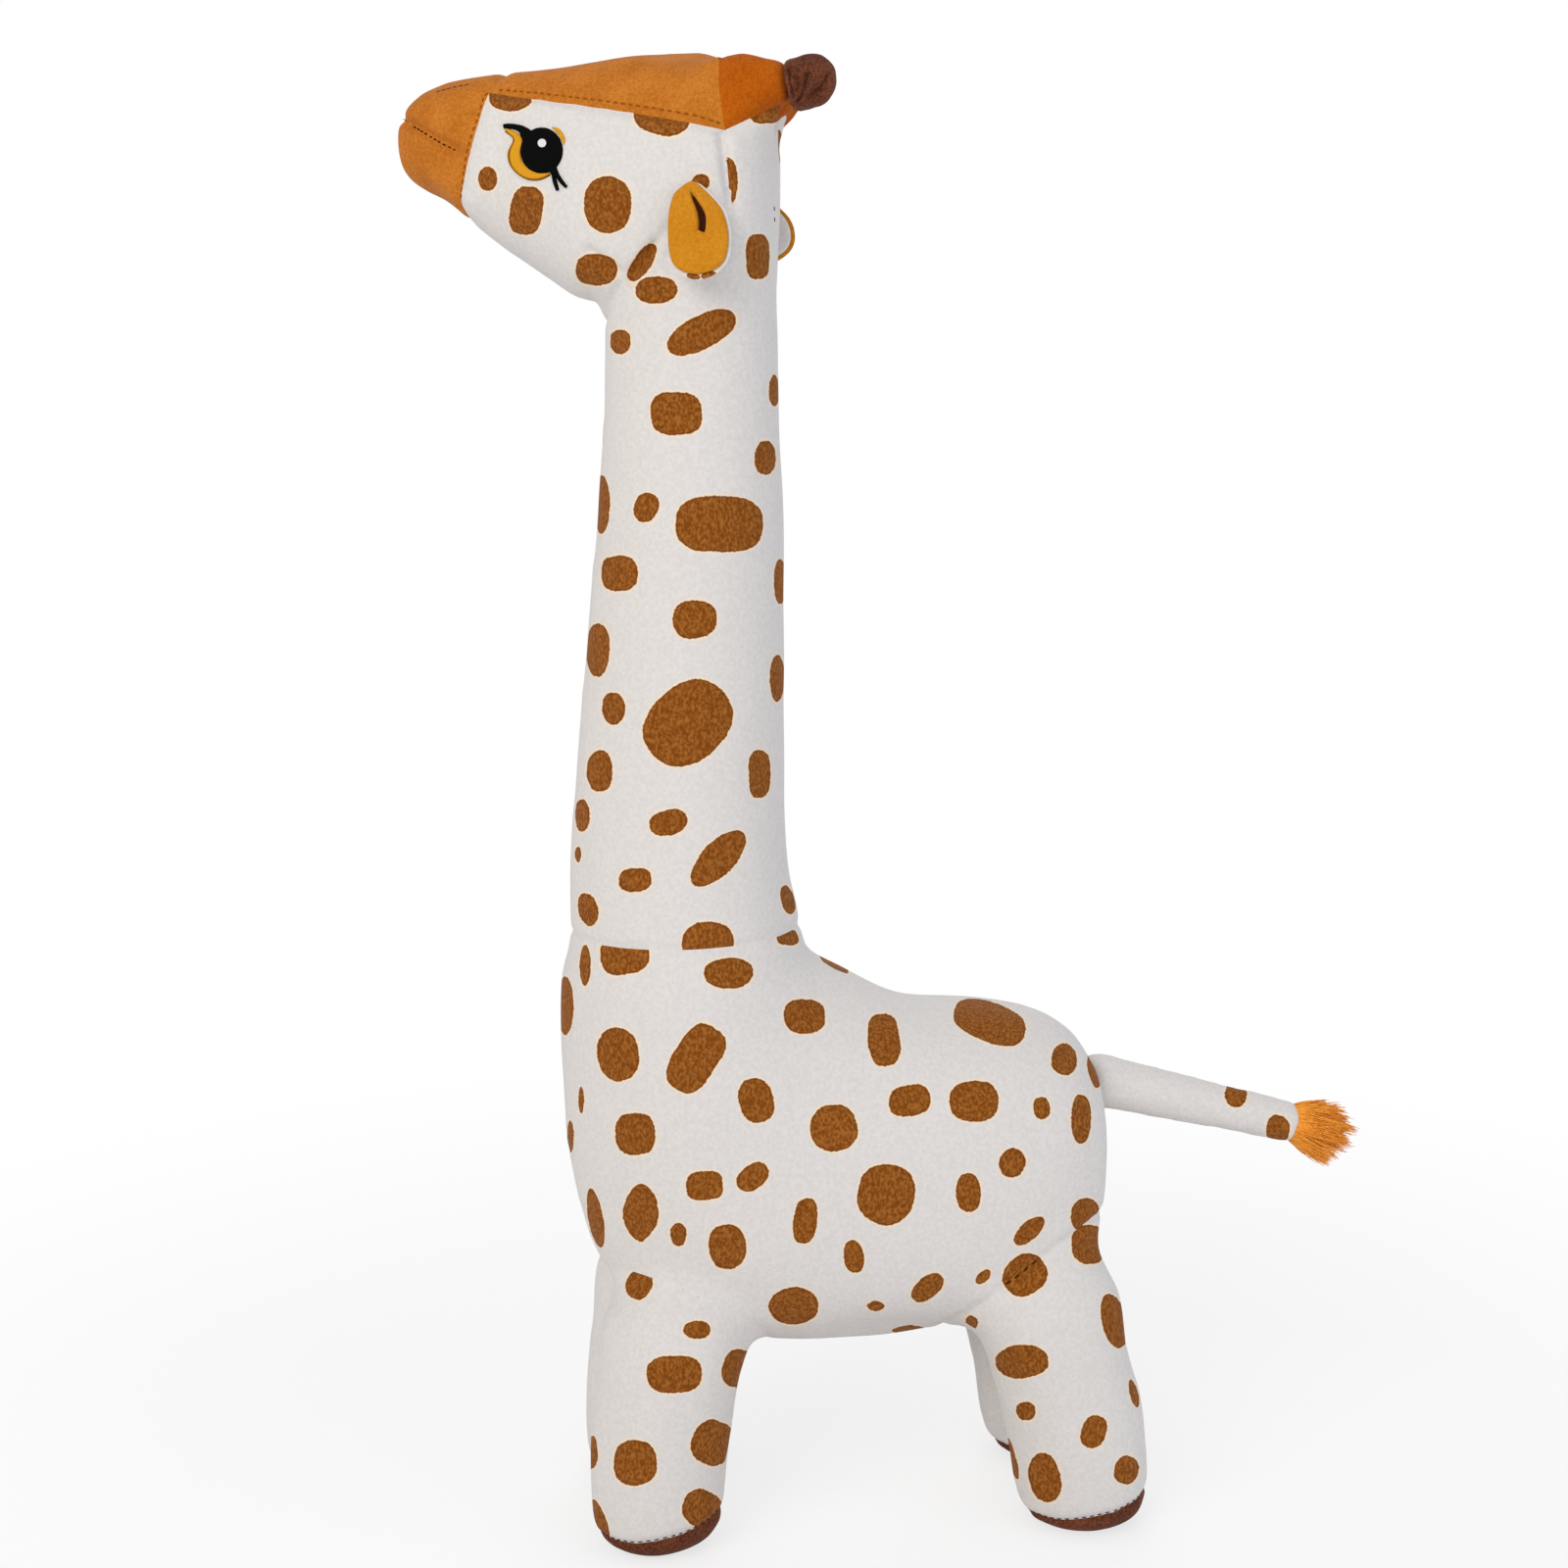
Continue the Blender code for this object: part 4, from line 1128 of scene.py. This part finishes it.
def slit_relief(x, y, line):
    """How far the lining stands over its dome by the slit, and how far into the slit's painted shade a place
    lies.
    """
    reach = [math.hypot(x - p.x, y - p.y) for p in line]
    nearest = min(range(1, len(line) - 1), key=reach.__getitem__)
    ahead, place = line[nearest + 1] - line[nearest - 1], line[nearest]
    off = ((x - place.x) * ahead.y - (y - place.y) * ahead.x) / ahead.length
    share = nearest / (len(line) - 1)
    fade = math.exp(-(max(0.0, reach[nearest] - abs(off)) / SLIT_FADE) ** 2)
    opening = (0.3 + 0.7 * min(1.0, share / 0.6)) * min(1.0, (1.0 - share) / 0.08) * fade
    if off > 0:
        flap = math.exp(-((off - FLAP_PLACE) / FLAP_PLACE) ** 2)
        # This share sets how deep the slit sinks and how much painted shade lies there
        dark = math.exp(-(off / 0.9) ** 2)
        return FLAP_RISE * flap * fade * (0.4 + 0.6 * share) - SLIT_DEPTH * opening * dark, dark * opening
    cut = 1.0 / (1.0 + math.exp((-off - SLIT_WIDE * opening) / 0.7))
    bowl = math.exp(-(off / (2.6 * SLIT_WIDE)) ** 2)
    return -SLIT_DEPTH * opening * (0.72 * cut + 0.28 * bowl), cut * min(1.0, 1.6 * opening)


def add_pillow(name, outline, middle, out, rises, slit=None):
    """A flat closed pillow: a sphere taken to an outline on a plane of its own, with a slit in its front."""
    rim = [place - EAR_MIDDLE for place in smooth_line(outline + outline[:3], 1.0)]
    turns, radii = np.array(sorted((math.atan2(off.y, off.x), off.length) for off in rim)).T
    bm = bmesh.new()
    bmesh.ops.create_uvsphere(bm, u_segments=EAR_CELLS[0], v_segments=EAR_CELLS[1], radius=1.0)
    # Each vertex keeps how far into the slit's painted shade it lies
    slit_shade = bm.verts.layers.float.new("slit")
    for vert in bm.verts:
        side, down, up = vert.co
        reach = math.hypot(side, down)
        radius = reach * np.interp(math.atan2(down, side), turns, radii, period=math.tau)
        x = EAR_MIDDLE.x + radius * side / max(reach, 1e-6)
        y = EAR_MIDDLE.y + radius * down / max(reach, 1e-6)
        ray = pixel_ray(x, y)
        place = EYE_POINT + ray * ((middle - EYE_POINT).dot(out) / ray.dot(out))
        stand = rises[0 if up > 0 else 1] * math.copysign(abs(up) ** EAR_CROWN, up)
        if slit and up > 0:
            extra, vert[slit_shade] = slit_relief(x, y, slit)
            stand += extra * min(1.0, 2.0 * up)
        vert.co = place + stand * out
    bmesh.ops.recalc_face_normals(bm, faces=bm.faces)
    return mesh_object(name, bm)


def add_ears(white, velour):
    """Flat ears with a printed back and a puffed lining, whose flap lies over a deep slit from the root."""
    middle, out = flat_frame("ear_left")
    slit = smooth_line(EAR_SLIT, 0.5)
    root = joint_place("ear_flap_left")
    swing = Matrix.Rotation(-FAR_EAR_SWING, 4, HEAD_ACROSS) @ Matrix.Diagonal(FAR_EAR_SHARES)
    change = Matrix.Translation(root + FAR_EAR_LIFT) @ swing @ Matrix.Translation(-root)
    for side in SIDES:
        ear, node = f"ear_{side}", f"ear_lining_{side}"
        # The camera sees the far ear's back, and its lining's rim shows all round it
        outlines = (EAR_BACK, EAR_LINING) if side == "left" else (EAR_LINING, EAR_BACK)
        back = add_pillow(f"soft_{ear}", outlines[0], middle, out, EAR_BACK_RISES)
        place = middle + EAR_LINING_STAND * out
        lining = add_pillow(f"soft_{node}", outlines[1], place, out, EAR_LINING_RISES, slit)
        for piece in (back, lining):
            if side == "right":
                piece.data.transform(change)
            add_lumps(piece.data, *EAR_LUMPS)
            if side == "right":
                piece.data.transform(HEAD_MIRROR)
                piece.data.flip_normals()
                piece.data.update()
        paint_spots(back, EAR_SPOTS if side == "left" else (), tree_of(back), SEEDS["ears"])
        for piece, covered, material, slot in (
            (back, ear, white, "white_pile"), (lining, node, velour, "golden_pile"),
        ):
            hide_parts(covered)
            dress(piece, material)
            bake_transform(piece)


def add_horn_tips(brown):
    """Padded ends that are gathered into a few deep creases."""
    creases = []
    for side in SIDES:
        node = f"horn_tip_{side}"
        piece = filled_form(f"soft_{node}", (node,), *TIP_FORM)
        add_lumps(piece.data, *TIP_LUMPS)
        tree = tree_of(piece)
        if side == "left":
            creases = [line_on(tree, pixels) for pixels in TIP_CREASES]
        lines = [(place, 1.0) for crease in creases for place, facing in on_side(tree, crease, side)]
        draw_in(piece.data, lines, TIP_CREASE_DEPTH, TIP_CREASE_SPREAD)
        if side == "right":
            piece.data.transform(Matrix.Translation(FAR_TIP_SHIFT))
        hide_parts(node)
        dress(piece, brown, f"horn_{side}")


def add_stitches(name, line, sizes, material, body):
    """Stitches along a line on the skin: short rounded dashes, sunk halfway into the pile."""
    apart, length, thick = sizes
    bm = bmesh.new()
    gone = 0.0
    for (place, facing), (after, _) in zip(line, line[1:]):
        gone += (after - place).length
        if gone < apart:
            continue
        gone -= apart
        ahead = (after - place).normalized()
        turn = Matrix((ahead * length, facing.cross(ahead) * thick, facing * thick)).transposed().to_4x4()
        bmesh.ops.create_uvsphere(
            bm, u_segments=8, v_segments=6, radius=0.5, matrix=Matrix.Translation(place) @ turn,
        )
    return dress(mesh_object(f"stitches_{name}", bm), material, body)


def seam_ring(tree, seam, middle, rise):
    """Places all round a leg where a cut meets its skin, with which way each faces."""
    middle = middle - (middle - seam.place).dot(seam.normal) * seam.normal + rise * seam.normal
    side = seam.normal.orthogonal().normalized()
    found = []
    for k in range(RING_STEPS + 1):
        ray = Matrix.Rotation(math.tau * k / RING_STEPS, 3, seam.normal) @ side
        found.append(tree.ray_cast(middle, ray)[:2])
    return found


def add_all_stitches(tree, seams, cloth):
    for name, (pixels, sizes, kind, body, twin) in STITCHES.items():
        line = line_on(tree, pixels)
        material = cloth[f"{kind}_stitch"]
        add_stitches(name, line, sizes, material, body)
        if twin:
            add_stitches(f"{name}_right", on_side(tree, line, "right"), sizes, material, body)
    for corner in CORNERS:
        sole = f"sole_{corner}"
        ring = seam_ring(tree, seams[sole], middle_of(sole), SOLE_STITCH_RISE)
        add_stitches(sole, ring, SOLE_STITCH, cloth["dark_stitch"], f"leg_{corner}")


def add_tail(material):
    piece = filled_form("soft_tail", ("tail",), *TAIL_FORM)
    add_lumps(piece.data, *TAIL_LUMPS)
    paint_spots(piece, SPOTS["tail"], tree_of(piece), SEEDS["tail"])
    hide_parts("tail")
    dress(piece, material)
    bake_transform(piece)


def tuft_strands(seam, way):
    """A curve of clumped, tapered strands that fan out of the tuft's seam."""
    draw = random.Random(SEEDS["tuft"])
    side = way.orthogonal().normalized()
    clumps = []
    for _ in range(CLUMP_COUNT):
        out = Matrix.Rotation(draw.uniform(0.0, math.tau), 3, way) @ side
        spread = math.sqrt(draw.uniform(0.02, 1.0))
        reach = TUFT_REACH * (1.0 - 0.42 * spread ** 3) * draw.uniform(0.86, 1.06)
        sag = Vector((0.0, 0.0, -TUFT_SAG * draw.uniform(0.3, 1.6)))
        clumps.append((out, spread, seam + reach * way + TUFT_SPREAD * spread * out + sag))
    curve = bpy.data.curves.new("tuft_strands", "CURVE")
    curve.dimensions = "3D"
    curve.bevel_depth = STRAND_THICK
    curve.bevel_resolution = 0
    curve.use_fill_caps = True
    for _ in range(STRAND_COUNT):
        out, spread, tip = draw.choice(clumps)
        turned = Matrix.Rotation(draw.gauss(0.0, CLUMP_TURN), 3, way) @ out
        base = seam - draw.uniform(0.5, 2.5) * MM * way
        base += TUFT_ROOT * min(1.0, spread + draw.uniform(-0.15, 0.2)) * turned
        end = tip + Vector([draw.gauss(0.0, CLUMP_TIP) for _ in range(3)])
        swell = base + 0.5 * (end - base) + draw.uniform(0.6, 2.4) * MM * turned
        strand = curve.splines.new("POLY")
        strand.points.add(STRAND_STEPS)
        for k, point in enumerate(strand.points):
            t = k / STRAND_STEPS
            place = (1 - t) ** 2 * base + 2 * t * (1 - t) * swell + t * t * end
            point.co = (*place, 1.0)
            point.radius = 1.0 - 0.75 * t ** 1.5
    return curve


def add_tuft(yarn):
    """The shaggy end of the tail: a short core under strands of yarn."""
    core = filled_form("soft_tail_tuft", ("tail_tuft",), *TUFT_FORM)
    add_lumps(core.data, *TUFT_LUMPS)
    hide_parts("tail_tuft")
    dress(core, yarn, "tail")
    root = joint_place("tail_lift")
    way = (middle_of("tail_tuft") - root).normalized()
    solid = frame["nodes"]["tail_tuft"].data
    seam = root + min((vertex.co - root).dot(way) for vertex in solid.vertices) * way
    shrink = Matrix.Scale(TUFT_CORE_SHARE, 4)
    core.data.transform(Matrix.Translation(seam) @ shrink @ Matrix.Translation(-seam))
    holder = bpy.data.objects.new("tuft_strands", tuft_strands(seam, way))
    bpy.context.scene.collection.objects.link(holder)
    mesh = bpy.data.meshes.new_from_object(holder.evaluated_get(bpy.context.evaluated_depsgraph_get()))
    strands = bpy.data.objects.new("tuft_strands", mesh)
    bpy.data.objects.remove(holder)
    bpy.context.scene.collection.objects.link(strands)
    mesh.shade_smooth()
    dress(strands, yarn, "tail")


def disc_shape(disc):
    """A grid's square taken to an oval in the photo, with a rounded crown."""
    x, y, wide, high = disc

    def shape(u, v):
        round_u, round_v = u * math.sqrt(1 - v * v / 2), v * math.sqrt(1 - u * u / 2)
        crown = math.sqrt(max(0.0, 1.0 - (round_u ** 2 + round_v ** 2) ** 2))
        return (x + wide * round_u, y - high * round_v), crown
    return shape


def band_shape(line):
    """A grid's square taken to a band along a line in the photo, which has a width at each place."""
    rows = smooth_line(line, 1.5)

    def shape(u, v):
        along = (u + 1) / 2 * (len(rows) - 1)
        i = min(int(along), len(rows) - 2)
        here = rows[i].lerp(rows[i + 1], along - i)
        ahead = (rows[i + 1] - rows[i]).to_2d().normalized()
        off = Vector((-ahead.y, ahead.x)) * here.z / 2 * v
        return (here.x + off.x, here.y + off.y), math.sqrt(max(0.0, 1.0 - v ** 4)) * min(1.0, here.z / 3.0)
    return shape


def stitched_patch(name, tree, shape, cells, rise, side, material):
    """A patch of dense stitching that follows the cheek and stands a little proud of it."""
    bm = bmesh.new()
    bmesh.ops.create_grid(bm, x_segments=cells[0], y_segments=cells[1], size=1.0)
    for vert in bm.verts:
        pixel, crown = shape(vert.co.x, vert.co.y)
        place, facing = on_side(tree, [near_point(tree, pixel)], side)[0]
        vert.co = place + (EDGE_RISE_SHARE + (1.0 - EDGE_RISE_SHARE) * crown) * rise * facing
    bm.normal_update()
    if next(iter(bm.faces)).normal.dot(facing) < 0:
        bmesh.ops.reverse_faces(bm, faces=bm.faces)
    patch = mesh_object(f"{name}_{side}", bm)
    wall = patch.modifiers.new("wall", "SOLIDIFY")
    wall.thickness = PATCH_WALL
    wall.offset = -1.0
    settled(patch)
    return dress(patch, material, "head")


def add_eyes(tree, cloth):
    """The stitched eyes: golden arcs with a bronze rim under a black disc, its lashes and a white glint."""
    patches = [
        ("eye_gold", band_shape(GOLD_ARC), (60, 8), "gold", "arc"),
        ("eye_corner", band_shape(GOLD_CORNER), (24, 6), "gold", "arc"),
        ("eye_rim", band_shape(GOLD_RIM), (60, 6), "rim", "rim"),
        ("eye_disc", disc_shape(EYE_DISC), (40, 40), "black", "black"),
        *((f"lash_{i + 1}", band_shape(lash), (24, 8), "lash", "black") for i, lash in enumerate(LASHES)),
        ("eye_glint", disc_shape(EYE_GLINT), (14, 14), "glint", "glint"),
    ]
    for side in SIDES:
        for name, shape, cells, rise, kind in patches:
            patch = stitched_patch(name, tree, shape, cells, EYE_RISE[rise], side, cloth[kind])
            if name == "eye_disc":
                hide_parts(f"eye_{side}")


bpy.context.scene.view_settings.view_transform = "Standard"
add_camera()
add_floor()
add_world()
add_lamps()
cloth = make_materials()
skin_tree, seams = add_skin(cloth)
add_ears(cloth["white"], cloth["lining"])
add_horn_tips(cloth["brown"])
add_tail(cloth["white"])
add_tuft(cloth["tuft"])
add_eyes(skin_tree, cloth)
add_all_stitches(skin_tree, seams, cloth)
